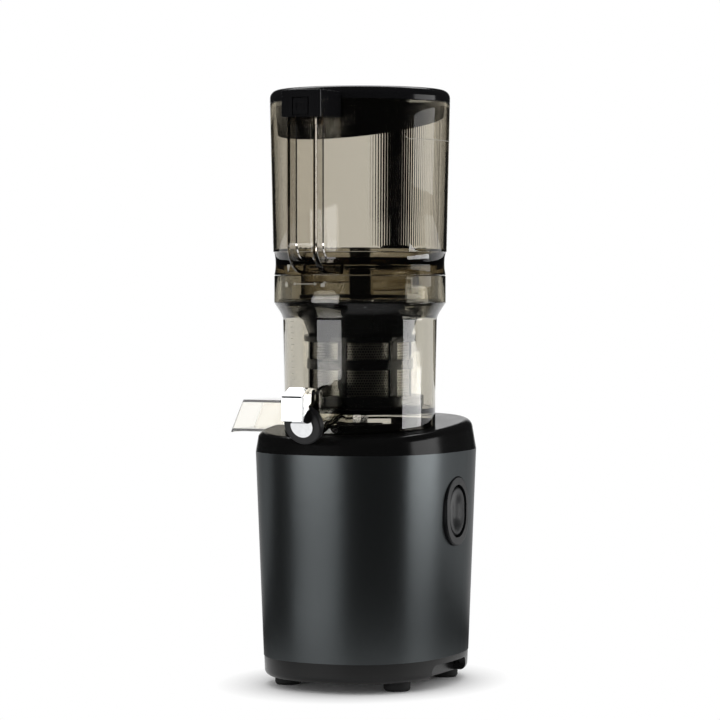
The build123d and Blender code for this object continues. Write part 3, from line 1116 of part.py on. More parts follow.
def make_hopper():
    """Clear hopper: tapered wall, waisted foot, dished floor with a throat, and a spigot with lugs."""
    inner_low = HOPPER_LOW_R - CLEAR_WALL
    spigot_bore = SPIGOT_R - CLEAR_WALL
    throat = THROAT_R + CLEAR_WALL
    inside = [
        (HOPPER_TOP_R, HOPPER_TOP_Z),
        (HOPPER_TOP_R - CLEAR_WALL, HOPPER_TOP_Z),
        (inner_low, FLOOR_WALL_Z + 7),
        (inner_low - 4, FLOOR_WALL_Z),
        (THROAT_R + 3, FLOOR_THROAT_Z),
        (THROAT_R, FLOOR_THROAT_Z - 3),
        (THROAT_R, SPIGOT_LOW_Z),
        (throat, SPIGOT_LOW_Z),
        (throat, FLOOR_THROAT_Z - 4),
        (spigot_bore, FLOOR_WALL_Z - 6),
        (spigot_bore, SPIGOT_LOW_Z),
        (SPIGOT_R, SPIGOT_LOW_Z),
        (SPIGOT_R, HOPPER_FOOT_Z),
        (HOPPER_FOOT_R, HOPPER_FOOT_Z),
    ]
    outline = hopper_outline() + [Line(a, b) for a, b in zip(inside, inside[1:])]
    shell = revolve(make_face([Plane.XZ * edge for edge in outline]), Axis.Z)
    outer = COLLAR_R - COLLAR_WALL - SLIDE_GAP
    lugs = []
    for angle in turn_by(LUG_COUNT, LUG_ANGLE):
        lugs.append(wedge(outer, SPIGOT_R - 1, LUG_LOW_Z, LUG_HIGH_Z, angle, LUG_SPREAD))
    return joined([shell, *lugs])


def hopper_solid():
    """Everything inside the hopper's outer side."""
    edges = hopper_outline()
    edges += [Line((HOPPER_TOP_R, HOPPER_TOP_Z), (0, HOPPER_TOP_Z))]
    edges += [Line((0, HOPPER_TOP_Z), (0, HOPPER_FOOT_Z))]
    edges += [Line((0, HOPPER_FOOT_Z), (HOPPER_FOOT_R, HOPPER_FOOT_Z))]
    return revolve(make_face([Plane.XZ * edge for edge in edges]), Axis.Z)


def make_handle():
    """Clear handle in front of the hopper: two rails that bend in to the waist, and a front panel."""
    front, back = HANDLE_FRONT_Y, HANDLE_FRONT_Y + HANDLE_DEPTH
    foot_top = HANDLE_FOOT_Z + HANDLE_FOOT_H
    outer_r, inner_r = HANDLE_BEND_Z - HANDLE_FOOT_Z, HANDLE_BEND_Z - foot_top
    outline = [
        Line((back, HANDLE_TOP_Z), (front, HANDLE_TOP_Z)),
        Line((front, HANDLE_TOP_Z), (front, HANDLE_BEND_Z)),
        JernArc((front, HANDLE_BEND_Z), (0, -1), outer_r, 90),
        Line((front + outer_r, HANDLE_FOOT_Z), (HANDLE_END_Y, HANDLE_FOOT_Z)),
        Line((HANDLE_END_Y, HANDLE_FOOT_Z), (HANDLE_END_Y, foot_top)),
        Line((HANDLE_END_Y, foot_top), (back + inner_r, foot_top)),
        JernArc((back + inner_r, foot_top), (-1, 0), inner_r, -90),
        Line((back, HANDLE_BEND_Z), (back, HANDLE_TOP_Z)),
    ]
    grip = across(outline, HANDLE_WIDTH / 2)
    upright = grip.edges().filter_by(Axis.Z)
    grip = fillet(upright.filter_by_position(Axis.Y, front - 0.5, front + 0.5), HANDLE_EDGE_R)
    inner, crown = HANDLE_WIDTH / 2 - HANDLE_RAIL, HANDLE_TOP_Z - HANDLE_CROWN
    pad_low, pad_front = HANDLE_FOOT_Z - SLIDE_GAP, -HOPPER_LOW_R - 4.2
    pad_low_corner = (-HANDLE_PAD_HALF, pad_front, pad_low)
    pad = block(pad_low_corner, (HANDLE_PAD_HALF, HANDLE_END_Y, pad_low + HANDLE_PAD_H))
    hollow = block((-inner, front + HANDLE_WALL, HANDLE_PANEL_Z), (inner, pad_front, crown))
    between = block((-inner, front - PAST, HANDLE_FOOT_Z - PAST), (inner, pad_front, HANDLE_PANEL_Z))
    return grip - hollow - between + pad - hopper_solid()


def make_bridge():
    """Bridge from the top of the handle to the hopper, ribbed below, under the lid's latch block."""
    low, high = HANDLE_TOP_Z, HANDLE_TOP_Z + BRIDGE_HEIGHT
    body = block((-BRIDGE_HALF, BRIDGE_FRONT_Y, low), (BRIDGE_HALF, HANDLE_END_Y, high))
    hollow_y = HANDLE_FRONT_Y + HANDLE_DEPTH
    for side in (-1, 1):
        near, far = sorted((side * BRIDGE_WALL / 2, side * (BRIDGE_HALF - BRIDGE_WALL)))
        body -= block((near, hollow_y, low - PAST), (far, HANDLE_END_Y + PAST, high - BRIDGE_WALL))
    return body - hopper_solid()


def make_column():
    """Black column up the back of the hopper, which carries the lid's hinge."""
    far = HOPPER_TOP_R + COLUMN_DEPTH
    wide, narrow = COLUMN_WIDTH / 2, COLUMN_NARROW / 2
    top, bend = HOPPER_TOP_Z - 4, COLUMN_NARROW_Z
    right = [(narrow, HOPPER_STEP_Z), (narrow, bend - COLUMN_TAPER), (wide, bend), (wide, top)]
    points = [(-x, z) for x, z in reversed(right)] + right
    face = make_face(Plane.XZ.offset(-far) * Polyline(*points, close=True))
    body = extrude(face, 25, dir=(0, -1, 0))
    outer = body.edges().filter_by_position(Axis.Y, far - 0.1, far + 0.1)
    body = fillet(outer, 2.5)
    knuckles = []
    for side in (-1, 1):
        x = side * (COLUMN_WIDTH / 2 - KNUCKLE / 2)
        knuckles.append(rod_x(LID_BARREL_R, KNUCKLE / 2, LID_HINGE_Y, LID_HINGE_Z, x))
        low = (x - KNUCKLE / 2, HOPPER_TOP_R + 1.0, HOPPER_TOP_Z - 12)
        knuckles.append(block(low, (x + KNUCKLE / 2, LID_HINGE_Y + LID_BARREL_R, LID_HINGE_Z)))
    half = COLUMN_WIDTH / 2 - KNUCKLE
    lid_way = rod_x(LID_BARREL_R + SLIDE_GAP, half, LID_HINGE_Y, LID_HINGE_Z)
    column = joined([body, *knuckles]) - hopper_solid() - lid_way
    return column - rod_x(LID_PIN_R + PRESS_GAP, FAR, LID_HINGE_Y, LID_HINGE_Z)


def make_hopper_seal():
    """Silicone ring on the hopper's throat, where it enters the funnel."""
    outer = THROAT_R + CLEAR_WALL
    return ring(outer + 1.3, outer + PRESS_GAP, SPIGOT_LOW_Z + 2, SPIGOT_LOW_Z + 5)


def make_lid_pin():
    """Steel pin of the lid's hinge."""
    return rod_x(LID_PIN_R, COLUMN_WIDTH / 2 - 0.5, LID_HINGE_Y, LID_HINGE_Z)


# ---------------------------------------------------------------- lid
def make_lid():
    """Black lid: a shallow domed cap with a hinge barrel behind."""
    outer = [
        Line((HOPPER_TOP_R, LID_LOW_Z), (HOPPER_TOP_R, LID_SIDE_Z)),
        ThreePointArc(
            (HOPPER_TOP_R, LID_SIDE_Z),
            (HOPPER_TOP_R - 2.0, LID_SIDE_Z + 4.6),
            (LID_SHOULDER_R, LID_SHOULDER_Z),
        ),
        Line((LID_SHOULDER_R, LID_SHOULDER_Z), (0, LID_TOP_Z)),
        Line((0, LID_TOP_Z), (0, LID_TOP_Z - SHELL_WALL)),
    ]
    bore = HOPPER_TOP_R - SHELL_WALL
    inside = [
        (0, LID_TOP_Z - SHELL_WALL),
        (LID_SHOULDER_R, LID_SHOULDER_Z - SHELL_WALL),
        (bore, LID_SIDE_Z),
        (bore, LID_LOW_Z),
        (HOPPER_TOP_R, LID_LOW_Z),
    ]
    edges = outer + [Line(a, b) for a, b in zip(inside, inside[1:])]
    cap = revolve(make_face([Plane.XZ * edge for edge in edges]), Axis.Z)
    half = COLUMN_WIDTH / 2 - KNUCKLE - SLIDE_GAP
    barrel = rod_x(LID_BARREL_R, half, LID_HINGE_Y, LID_HINGE_Z)
    low = (-half, bore - 1, LID_HINGE_Z)
    arm = block(low, (half, LID_HINGE_Y, LID_HINGE_Z + LID_BARREL_R))
    inner = disc(bore, LID_LOW_Z - FAR, LID_SIDE_Z)
    pin_way = rod_x(LID_PIN_R + RUN_GAP, FAR, LID_HINGE_Y, LID_HINGE_Z)
    return cap + (arm + barrel - inner) - pin_way


def make_skirt():
    """Black skirt under the lid, cut at a slant so that it swings clear of the hopper."""
    low = SKIRT_AXIS_Z - SKIRT_SLOPE_Y * SKIRT_TOP_R - 4
    top = LID_SIDE_Z + 4
    skirt = turned(
        (SKIRT_TOP_R, top),
        (SKIRT_LOW_R, low),
        (SKIRT_LOW_R - SKIRT_WALL, low),
        (SKIRT_TOP_R - SKIRT_WALL, top),
    )
    tilt_x = degrees(atan2(SKIRT_SLOPE_Y, 1))
    tilt_y = -degrees(atan2(SKIRT_SLOPE_X, 1))
    plane = Plane(Location((0, 0, SKIRT_AXIS_Z), (tilt_x, tilt_y, 0)))
    return split(skirt, bisect_by=plane, keep=Keep.TOP) - make_lid()


def make_latch_block():
    """Hood in front of the lid that covers the top of the handle and holds the latch tongue."""
    half, front = BLOCK_WIDTH / 2, BLOCK_FRONT_Y
    body = block((-half, front, BLOCK_LOW_Z), (half, HANDLE_END_Y, BLOCK_HIGH_Z))
    body = fillet(body.edges().filter_by(Axis.Z).sort_by(Axis.Y)[:2], 2.0)
    body = fillet(body.edges().filter_by(Axis.X).sort_by(Axis.Z)[-2:].sort_by(Axis.Y)[:1], 1.2)
    room = block(
        (-half + BLOCK_WALL, front + BLOCK_WALL, BLOCK_LOW_Z - PAST),
        (half - BLOCK_WALL, HANDLE_END_Y + PAST, BLOCK_HIGH_Z - BLOCK_WALL),
    )
    side = TONGUE_WIDTH / 2 + TONGUE_GAP
    window = block(
        (-side, front - PAST, TONGUE_LOW_Z - TONGUE_GAP),
        (side, front + BLOCK_WALL + 0.5, TONGUE_HIGH_Z + TONGUE_GAP),
    )
    ears = []
    for turn in (-1, 1):
        x = turn * (side + 1.0)
        low = (x - 1.0, front + BLOCK_WALL - 0.2, TONGUE_HIGH_Z - 2.0)
        ears.append(block(low, (x + 1.0, front + 5.2, BLOCK_HIGH_Z - 1)))
    keep_out = disc(HOPPER_TOP_R + SLIDE_GAP, BLOCK_LOW_Z - FAR, LID_LOW_Z + 0.2)
    keep_out += disc(HOPPER_TOP_R, BLOCK_LOW_Z - FAR, BLOCK_HIGH_Z + FAR)
    hood = joined([body - room - window, *ears]) - keep_out
    return hood - rod_x(TONGUE_PIN_R + RUN_GAP, side + 2.2, TONGUE_PIN_Y, TONGUE_PIN_Z)


def make_tongue():
    """Latch tongue that is pressed in to free the lid, with its stub pins."""
    half, front = TONGUE_WIDTH / 2, BLOCK_FRONT_Y
    back = front + BLOCK_WALL
    plate = block((-half, front, TONGUE_LOW_Z), (half, back, TONGUE_HIGH_Z))
    dish = block(
        (-half + TONGUE_DISH_EDGE_X, front - PAST, TONGUE_LOW_Z + TONGUE_DISH_EDGE_Z),
        (half - TONGUE_DISH_EDGE_X, front + TONGUE_DISH, TONGUE_HIGH_Z - TONGUE_DISH_EDGE_Z),
    )
    neck = block((-half, back, TONGUE_PIN_Z - 1.8), (half, TONGUE_PIN_Y + 1.6, TONGUE_PIN_Z + 1.0))
    pin = rod_x(TONGUE_PIN_R, half + TONGUE_GAP + 1.6, TONGUE_PIN_Y, TONGUE_PIN_Z)
    return joined([plate - dish, neck, pin])


PIECES = {
    "base_sleeve": make_sleeve,
    "top_cover": make_cover,
    "bottom_tray": make_tray,
    "rubber_feet": make_feet,
    "cord_grommet": make_grommet,
    "switch_bezel": make_bezel,
    "switch_rocker": make_rocker,
    "switch_body": make_switch_body,
    "motor_stator": make_stator,
    "motor_windings": make_windings,
    "motor_bracket": make_bracket,
    "gearbox_housing": make_housing,
    "gearbox_cover": make_gearcase_lid,
    "rotor_bearings": make_rotor_bearings,
    "layshaft_bearings": make_layshaft_bearings,
    "drive_bearings": make_output_bearings,
    "drive_shaft_seal": make_shaft_seal,
    "motor_rotor": make_rotor,
    "motor_shaft": make_motor_shaft,
    "cooling_fan": make_fan,
    "layshaft_gear": make_lay_gear,
    "layshaft_pinion": make_lay_pinion,
    "drive_gear": make_output_gear,
    "drive_shaft": make_drive_shaft,
    "control_board": make_board,
    "gearbox_dampers": make_dampers,
    "gearbox_screws": make_case_screws,
    "juicing_drum": make_bowl,
    "juice_spout": make_spout,
    "pulp_chute": make_chute,
    "drum_gasket": make_bowl_gasket,
    "pulp_packing": make_pulp_packing,
    "strainer_frame": make_frame,
    "strainer_mesh": make_mesh,
    "strainer_funnel": make_funnel,
    "cap_pin": make_cap_pin,
    "spout_cap": make_cap,
    "spout_cap_seal": make_cap_seal,
    "juicing_screw": make_screw,
    "screw_bush": make_bush,
    "feeding_wing": make_wing,
    "hopper_shell": make_hopper,
    "hopper_handle": make_handle,
    "handle_bridge": make_bridge,
    "hopper_column": make_column,
    "hopper_seal": make_hopper_seal,
    "lid_pin": make_lid_pin,
    "lid_cover": make_lid,
    "lid_skirt": make_skirt,
    "lid_latch_block": make_latch_block,
    "latch_tongue": make_tongue,
}
for node, make in PIECES.items():
    made = make()
    save(node, made if isinstance(made, list) else made.solids())
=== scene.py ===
"""Looks of a cold press juicer: finishes, modelled pieces, floor, light and camera.

Modelled pieces are made in millimetres about the drive axis and are turned into metres when they
are done. +Z is up and the front faces -Y.
"""

import logging
import math
from dataclasses import dataclass
from enum import Enum
from typing import Callable, Sequence

import bmesh
import bpy
from mathutils import Matrix, Vector


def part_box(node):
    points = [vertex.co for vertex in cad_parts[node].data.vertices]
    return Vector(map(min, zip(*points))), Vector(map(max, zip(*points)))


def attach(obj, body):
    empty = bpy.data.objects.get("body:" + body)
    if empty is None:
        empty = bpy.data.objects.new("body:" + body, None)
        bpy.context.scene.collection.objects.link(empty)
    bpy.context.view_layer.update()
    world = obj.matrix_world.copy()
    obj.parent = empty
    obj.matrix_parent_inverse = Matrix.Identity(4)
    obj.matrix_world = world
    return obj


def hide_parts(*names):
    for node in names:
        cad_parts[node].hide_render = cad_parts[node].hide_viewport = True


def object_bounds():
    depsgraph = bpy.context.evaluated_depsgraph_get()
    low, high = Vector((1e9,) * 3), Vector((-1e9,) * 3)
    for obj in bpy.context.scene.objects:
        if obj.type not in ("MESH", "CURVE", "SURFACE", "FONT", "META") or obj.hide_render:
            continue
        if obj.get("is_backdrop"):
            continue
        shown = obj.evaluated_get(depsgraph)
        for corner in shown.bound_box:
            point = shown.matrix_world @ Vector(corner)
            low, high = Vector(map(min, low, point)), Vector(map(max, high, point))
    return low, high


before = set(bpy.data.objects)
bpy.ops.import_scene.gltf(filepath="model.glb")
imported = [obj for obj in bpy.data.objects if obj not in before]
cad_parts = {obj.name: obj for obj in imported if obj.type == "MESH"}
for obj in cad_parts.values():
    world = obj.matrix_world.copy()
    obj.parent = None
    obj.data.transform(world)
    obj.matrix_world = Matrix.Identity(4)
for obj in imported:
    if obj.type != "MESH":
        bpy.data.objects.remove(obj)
bpy.context.view_layer.update()
CAD_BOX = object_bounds()

LOG = logging.getLogger("juicer")
MM = 0.001
Colour = tuple[float, float, float]
Point = tuple[float, float]
Spot = tuple[float, float, float]


def drive_axis() -> Vector:
    """Foot of the drive axis, from the shaft that turns about it."""
    low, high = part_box("drive_shaft")
    return Vector(((low.x + high.x) / 2, (low.y + high.y) / 2, 0.0))


AXIS = drive_axis()


class Solve(Enum):
    """How one form works on another."""

    JOIN = "UNION"
    CUT = "DIFFERENCE"


class Along(Enum):
    """Axis of a straight bar."""

    X = "x"
    Y = "y"
    Z = "z"


# ------------------------------------------------------------------ node sheets
class NodeTree:
    """A node tree, with a short call that adds and joins nodes."""

    def __init__(self, tree: bpy.types.NodeTree) -> None:
        """Empties the tree.

        Args:
            tree: the tree of a material or of the world.
        """
        self.tree = tree
        tree.nodes.clear()

    def node(self, kind: str, inputs: dict | None = None, **settings: object) -> bpy.types.Node:
        """Adds a node.

        Args:
            kind: Blender's name of the node type, without ShaderNode in front.
            inputs: sockets to fill, each with a plain value or another node's output.
            settings: properties of the node itself.

        Returns:
            The new node.
        """
        made = self.tree.nodes.new("ShaderNode" + kind)
        for key, value in settings.items():
            setattr(made, key, value)
        for key, value in (inputs or {}).items():
            if isinstance(value, bpy.types.NodeSocket):
                self.tree.links.new(value, made.inputs[key])
            elif hasattr(made.inputs[key].default_value, "__len__") and len(value) == 3:
                size = len(made.inputs[key].default_value)
                made.inputs[key].default_value = (*value, 1.0)[:size]
            else:
                made.inputs[key].default_value = value
        return made

    def math(self, how: str, first: object, second: object) -> bpy.types.NodeSocket:
        """Adds one step of arithmetic on two values or sockets."""
        return self.node("Math", {0: first, 1: second}, operation=how).outputs[0]

    def ramp(self, value: object, start: Point, end: Point) -> bpy.types.NodeSocket:
        """Turns a value into another, evenly between two (value, result) points."""
        inputs = {"Value": value, "From Min": start[0], "From Max": end[0]}
        return self.node("MapRange", {**inputs, "To Min": start[1], "To Max": end[1]}).outputs[0]

    def vector(self, how: str, first: object, second: object, answer: object = 0) -> bpy.types.NodeSocket:
        """Adds one step of arithmetic on two vectors; answer names the output that holds the result."""
        return self.node("VectorMath", {0: first, 1: second}, operation=how).outputs[answer]

    def sees_background(self, path: Sequence[bpy.types.NodeSocket]) -> bpy.types.NodeSocket:
        """1 for what the camera sees, straight or through clear plastic, before any bounce.

        Args:
            path: outputs of a Light Path node.

        Returns:
            The value's socket.
        """
        bounces = self.math("ADD", path["Diffuse Depth"], path["Glossy Depth"])
        through = self.math("MULTIPLY", self.math("LESS_THAN", bounces, 0.5), path["Is Transmission Ray"])
        return self.math("MAXIMUM", path["Is Camera Ray"], through)

    def mirrors(self, path: Sequence[bpy.types.NodeSocket]) -> bpy.types.NodeSocket:
        """1 for what gloss and metal mirror, also where it's seen out through clear plastic.

        Args:
            path: outputs of a Light Path node.

        Returns:
            The value's socket.
        """
        deep = self.math("GREATER_THAN", path["Glossy Depth"], 0.5)
        straight = self.math("LESS_THAN", path["Diffuse Depth"], 0.5)
        return self.math("MAXIMUM", path["Is Glossy Ray"], self.math("MULTIPLY", deep, straight))


class NodeSheet(NodeTree):
    """A material in the making."""

    def __init__(self, name: str) -> None:
        """Starts an empty material.

        Args:
            name: name of the finish.
        """
        self.material = bpy.data.materials.new("finish_" + name)
        self.material.use_nodes = True
        super().__init__(self.material.node_tree)
        self.out = self.tree.nodes.new("ShaderNodeOutputMaterial")
        self.place = self.tree.nodes.new("ShaderNodeTexCoord").outputs["Object"]

    def noise(self, scale: float, detail: float = 2.0, stretch: Colour = (1, 1, 1)) -> bpy.types.NodeSocket:
        """Noise over the piece, from 0 to 1.

        Args:
            scale: waves in a metre.
            detail: octaves of finer noise.
            stretch: factors on x, y and z, under 1 where the grain runs long.

        Returns:
            The noise's value socket.
        """
        place = self.node("Mapping", {"Vector": self.place, "Scale": stretch})
        inputs = {"Vector": place.outputs[0], "Scale": scale, "Detail": detail}
        return self.node("TexNoise", inputs).outputs["Fac"]

    def spread(self, value: bpy.types.NodeSocket, low: float, high: float) -> bpy.types.NodeSocket:
        """Stretches a value that lies about 0.5 over a new range.

        Args:
            value: socket to read.
            low: what 0.3 becomes.
            high: what 0.7 becomes.

        Returns:
            The stretched value's socket.
        """
        return self.ramp(value, (0.3, low), (0.7, high))

    def tint(self, value: bpy.types.NodeSocket, dark: Colour, pale: Colour) -> bpy.types.NodeSocket:
        """Colour between two, led by a value.

        Args:
            value: socket to read, from 0 to 1.
            dark: colour at 0.
            pale: colour at 1.

        Returns:
            The colour socket.
        """
        mix = self.node("Mix", data_type="RGBA")
        self.tree.links.new(self.spread(value, 0.0, 1.0), mix.inputs[0])
        mix.inputs[6].default_value = (*dark, 1.0)
        mix.inputs[7].default_value = (*pale, 1.0)
        return mix.outputs[2]

    def bump(self, height: bpy.types.NodeSocket, depth_mm: float) -> bpy.types.NodeSocket:
        """Normal that follows a height.

        Args:
            height: socket with the height, from 0 to 1.
            depth_mm: real height of a value of 1.

        Returns:
            The normal socket.
        """
        inputs = {"Height": height, "Distance": depth_mm * MM, "Strength": 1.0}
        return self.node("Bump", inputs).outputs[0]

    def surface(self, inputs: dict) -> bpy.types.Material:
        """Ends the sheet with a Principled shader.

        Args:
            inputs: its sockets, each with a plain value or a node's output.

        Returns:
            The finished material.
        """
        shader = self.node("BsdfPrincipled", inputs)
        self.tree.links.new(shader.outputs[0], self.out.inputs["Surface"])
        return self.material


# ------------------------------------------------------------------ finishes
class Finish:
    """A finish that is built the first time it's asked for."""

    name: str

    def build(self) -> bpy.types.Material:
        """Makes the material."""
        raise NotImplementedError

    def material(self) -> bpy.types.Material:
        """The material, built once."""
        return bpy.data.materials.get("finish_" + self.name) or self.build()


@dataclass(frozen=True)
class Plastic(Finish):
    """Moulded plastic: two close colours, a fine mould grain and a slow change of gloss."""

    name: str
    dark: Colour
    pale: Colour
    rough_low: float
    rough_high: float
    grain_mm: float = 0.02
    grain_scale: float = 1800.0
    shine: float = 0.5

    def build(self) -> bpy.types.Material:
        """Makes the material."""
        sheet = NodeSheet(self.name)
        cloud = sheet.noise(14.0, 3.0)
        grain = sheet.noise(self.grain_scale, 1.0)
        return sheet.surface({
            "Base Color": sheet.tint(cloud, self.dark, self.pale),
            "Roughness": sheet.spread(sheet.noise(30.0, 4.0), self.rough_low, self.rough_high),
            "Normal": sheet.bump(grain, self.grain_mm),
            "Specular IOR Level": self.shine,
        })


@dataclass(frozen=True)
class Metal(Finish):
    """Bare or painted metal with a grain that may run one way."""

    name: str
    dark: Colour
    pale: Colour
    rough_low: float
    rough_high: float
    metallic: float = 1.0
    grain_mm: float = 0.01
    grain_scale: float = 900.0
    stretch: Colour = (1.0, 1.0, 1.0)
    edge: float = 1.0

    def build(self) -> bpy.types.Material:
        """Makes the material."""
        sheet = NodeSheet(self.name)
        grain = sheet.noise(self.grain_scale, 3.0, self.stretch)
        return sheet.surface({
            "Base Color": sheet.tint(grain, self.dark, self.pale),
            "Metallic": self.metallic,
            "Specular Tint": (self.edge, self.edge, self.edge),
            "Roughness": sheet.spread(sheet.noise(9.0, 1.0), self.rough_low, self.rough_high),
            "Normal": sheet.bump(grain, self.grain_mm),
        })


@dataclass(frozen=True)
class ClearPlastic(Finish):
    """Smoked see-through plastic, darker where the view runs through more of it."""

    name: str
    passed: Colour
    wall: float
    rough: float = 0.012

    def build(self) -> bpy.types.Material:
        """Makes the material. passed is the share of light that one wall lets through."""
        sheet = NodeSheet(self.name)
        taken = [-math.log(share) / (self.wall * MM) for share in self.passed]
        density = max(taken) * 1.05
        colour = [1 - t / density for t in taken]
        haze = sheet.spread(sheet.noise(25.0, 4.0), self.rough, self.rough * 3)
        material = sheet.surface({
            "Base Color": (1.0, 1.0, 1.0),
            "Transmission Weight": 1.0,
            "IOR": 1.49,
            "Roughness": haze,
            "Normal": sheet.bump(sheet.noise(60.0, 1.0), 0.02),
        })
        inside = sheet.node("VolumeAbsorption", {"Color": (*colour, 1.0), "Density": density})
        sheet.tree.links.new(inside.outputs[0], sheet.out.inputs["Volume"])
        return material


BLACK_SATIN = Plastic("black_satin", (0.004,) * 3, (0.006,) * 3, 0.16, 0.20, 0.002, shine=0.4)
LID_BLACK = Plastic("lid_black", (0.006, 0.006, 0.007), (0.009, 0.009, 0.010), 0.10, 0.15, 0.002)
TRAY_BLACK = Plastic("tray_black", (0.004,) * 3, (0.006,) * 3, 0.18, 0.24, 0.004, shine=0.4)
SWITCH_BLACK = Plastic(
    "switch_black", (0.006, 0.007, 0.008), (0.010, 0.011, 0.012), 0.30, 0.38, 0.01, shine=0.3
)
RUBBER = Plastic("rubber", (0.008, 0.008, 0.008), (0.014, 0.014, 0.014), 0.62, 0.78, 0.05, 900.0, 0.3)
SILICONE = Plastic("silicone", (0.006, 0.006, 0.007), (0.010, 0.010, 0.011), 0.32, 0.42, 0.01, 900.0)
FRAME_BLACK = Plastic(
    "frame_black", (0.007, 0.009, 0.011), (0.010, 0.013, 0.016), 0.20, 0.28, 0.01, shine=0.35
)
SCREW_BLACK = Plastic("screw_black", (0.008, 0.008, 0.009), (0.013, 0.013, 0.014), 0.28, 0.36, 0.01)
GEAR_NYLON = Plastic("gear_nylon", (0.62, 0.60, 0.53), (0.72, 0.70, 0.63), 0.42, 0.50, 0.02)
BOARD_GREEN = Plastic("board_green", (0.01, 0.09, 0.04), (0.02, 0.13, 0.06), 0.34, 0.44, 0.02, 500.0)
SLEEVE_PAINT = Metal(
    "sleeve_paint", (0.084, 0.092, 0.095), (0.088, 0.096, 0.099), 0.29, 0.31, 0.92, 0.0, 2200.0, edge=0.45
)
STEEL = Metal("steel", (0.48, 0.48, 0.49), (0.62, 0.62, 0.63), 0.22, 0.32)
CHROME = Metal("chrome", (0.80, 0.81, 0.82), (0.86, 0.87, 0.88), 0.03, 0.05, 1.0, 0.0005, 300.0)
MESH_STEEL = Metal("mesh_steel", (0.40, 0.385, 0.35), (0.48, 0.465, 0.43), 0.24, 0.34)
CASTING = Metal("casting", (0.36, 0.37, 0.38), (0.50, 0.51, 0.52), 0.42, 0.58, 1.0, 0.06, 500.0)
LAMINATION = Metal(
    "lamination", (0.16, 0.15, 0.15), (0.26, 0.25, 0.24), 0.38, 0.5, 1.0, 0.08, 1500.0, (0.02, 0.02, 1.0)
)
COPPER = Metal(
    "copper", (0.62, 0.24, 0.10), (0.80, 0.36, 0.17), 0.24, 0.36, 1.0, 0.25, 900.0, (1.0, 1.0, 0.15)
)
SMOKE = ClearPlastic("smoked_clear", (0.92, 0.905, 0.88), 2.6)
SMOKE_DRUM = ClearPlastic("smoked_drum", (0.74, 0.72, 0.665), 2.6)
SMOKE_HOPPER = ClearPlastic("smoked_hopper", (0.73, 0.70, 0.635), 2.6)
PRINT_BEIGE = Plastic("print_beige", (0.52, 0.49, 0.43), (0.60, 0.57, 0.50), 0.4, 0.5)

CAD_FINISHES = {
    "sleeve": SLEEVE_PAINT,
    "cover": BLACK_SATIN,
    "tray": TRAY_BLACK,
    "rubber": RUBBER,
    "switch": SWITCH_BLACK,
    "steel": STEEL,
    "lamination": LAMINATION,
    "copper": COPPER,
    "casting": CASTING,
    "gear_plastic": GEAR_NYLON,
    "board": BOARD_GREEN,
    "clear": SMOKE,
    "silicone": SILICONE,
    "frame_plastic": FRAME_BLACK,
    "mesh": MESH_STEEL,
    "screw_plastic": SCREW_BLACK,
    "chrome": CHROME,
    "lid": LID_BLACK,
}


def full_turn(steps: int) -> list[float]:
    """Plan angles in radians, equally far apart, all the way round."""
    return [2 * math.pi * i / steps for i in range(steps)]


def arc(centre: Point, radius: float, start: float, end: float, steps: int) -> list[Point]:
    """Points of an arc between two angles in degrees."""
    turns = [math.radians(start + (end - start) * i / steps) for i in range(steps + 1)]
    return [(centre[0] + radius * math.cos(t), centre[1] + radius * math.sin(t)) for t in turns]


# ------------------------------------------------------------------ closed meshes
def rounded(corners: Sequence[Point], radius: float, pieces: int = 4) -> list[Point]:
    """Rounds the corners of a closed outline.

    Args:
        corners: the outline's corners, in mm.
        radius: radius of the rounding, less where a side is short.
        pieces: chords in each rounded corner.

    Returns:
        The outline's points.
    """
    made: list[Point] = []
    for i, corner in enumerate(corners):
        here = Vector(corner)
        back = Vector(corners[i - 1]) - here
        ahead = Vector(corners[(i + 1) % len(corners)]) - here
        turn = math.pi - back.angle(ahead)
        if turn < math.radians(15):
            made.append(corner)
            continue
        reach = min(radius * math.tan(turn / 2), 0.45 * back.length, 0.45 * ahead.length)
        start, end = here + back.normalized() * reach, here + ahead.normalized() * reach
        for k in range(pieces + 1):
            t = k / pieces
            spot = start * (1 - t) ** 2 + here * 2 * t * (1 - t) + end * t * t
            made.append((spot.x, spot.y))
    return made


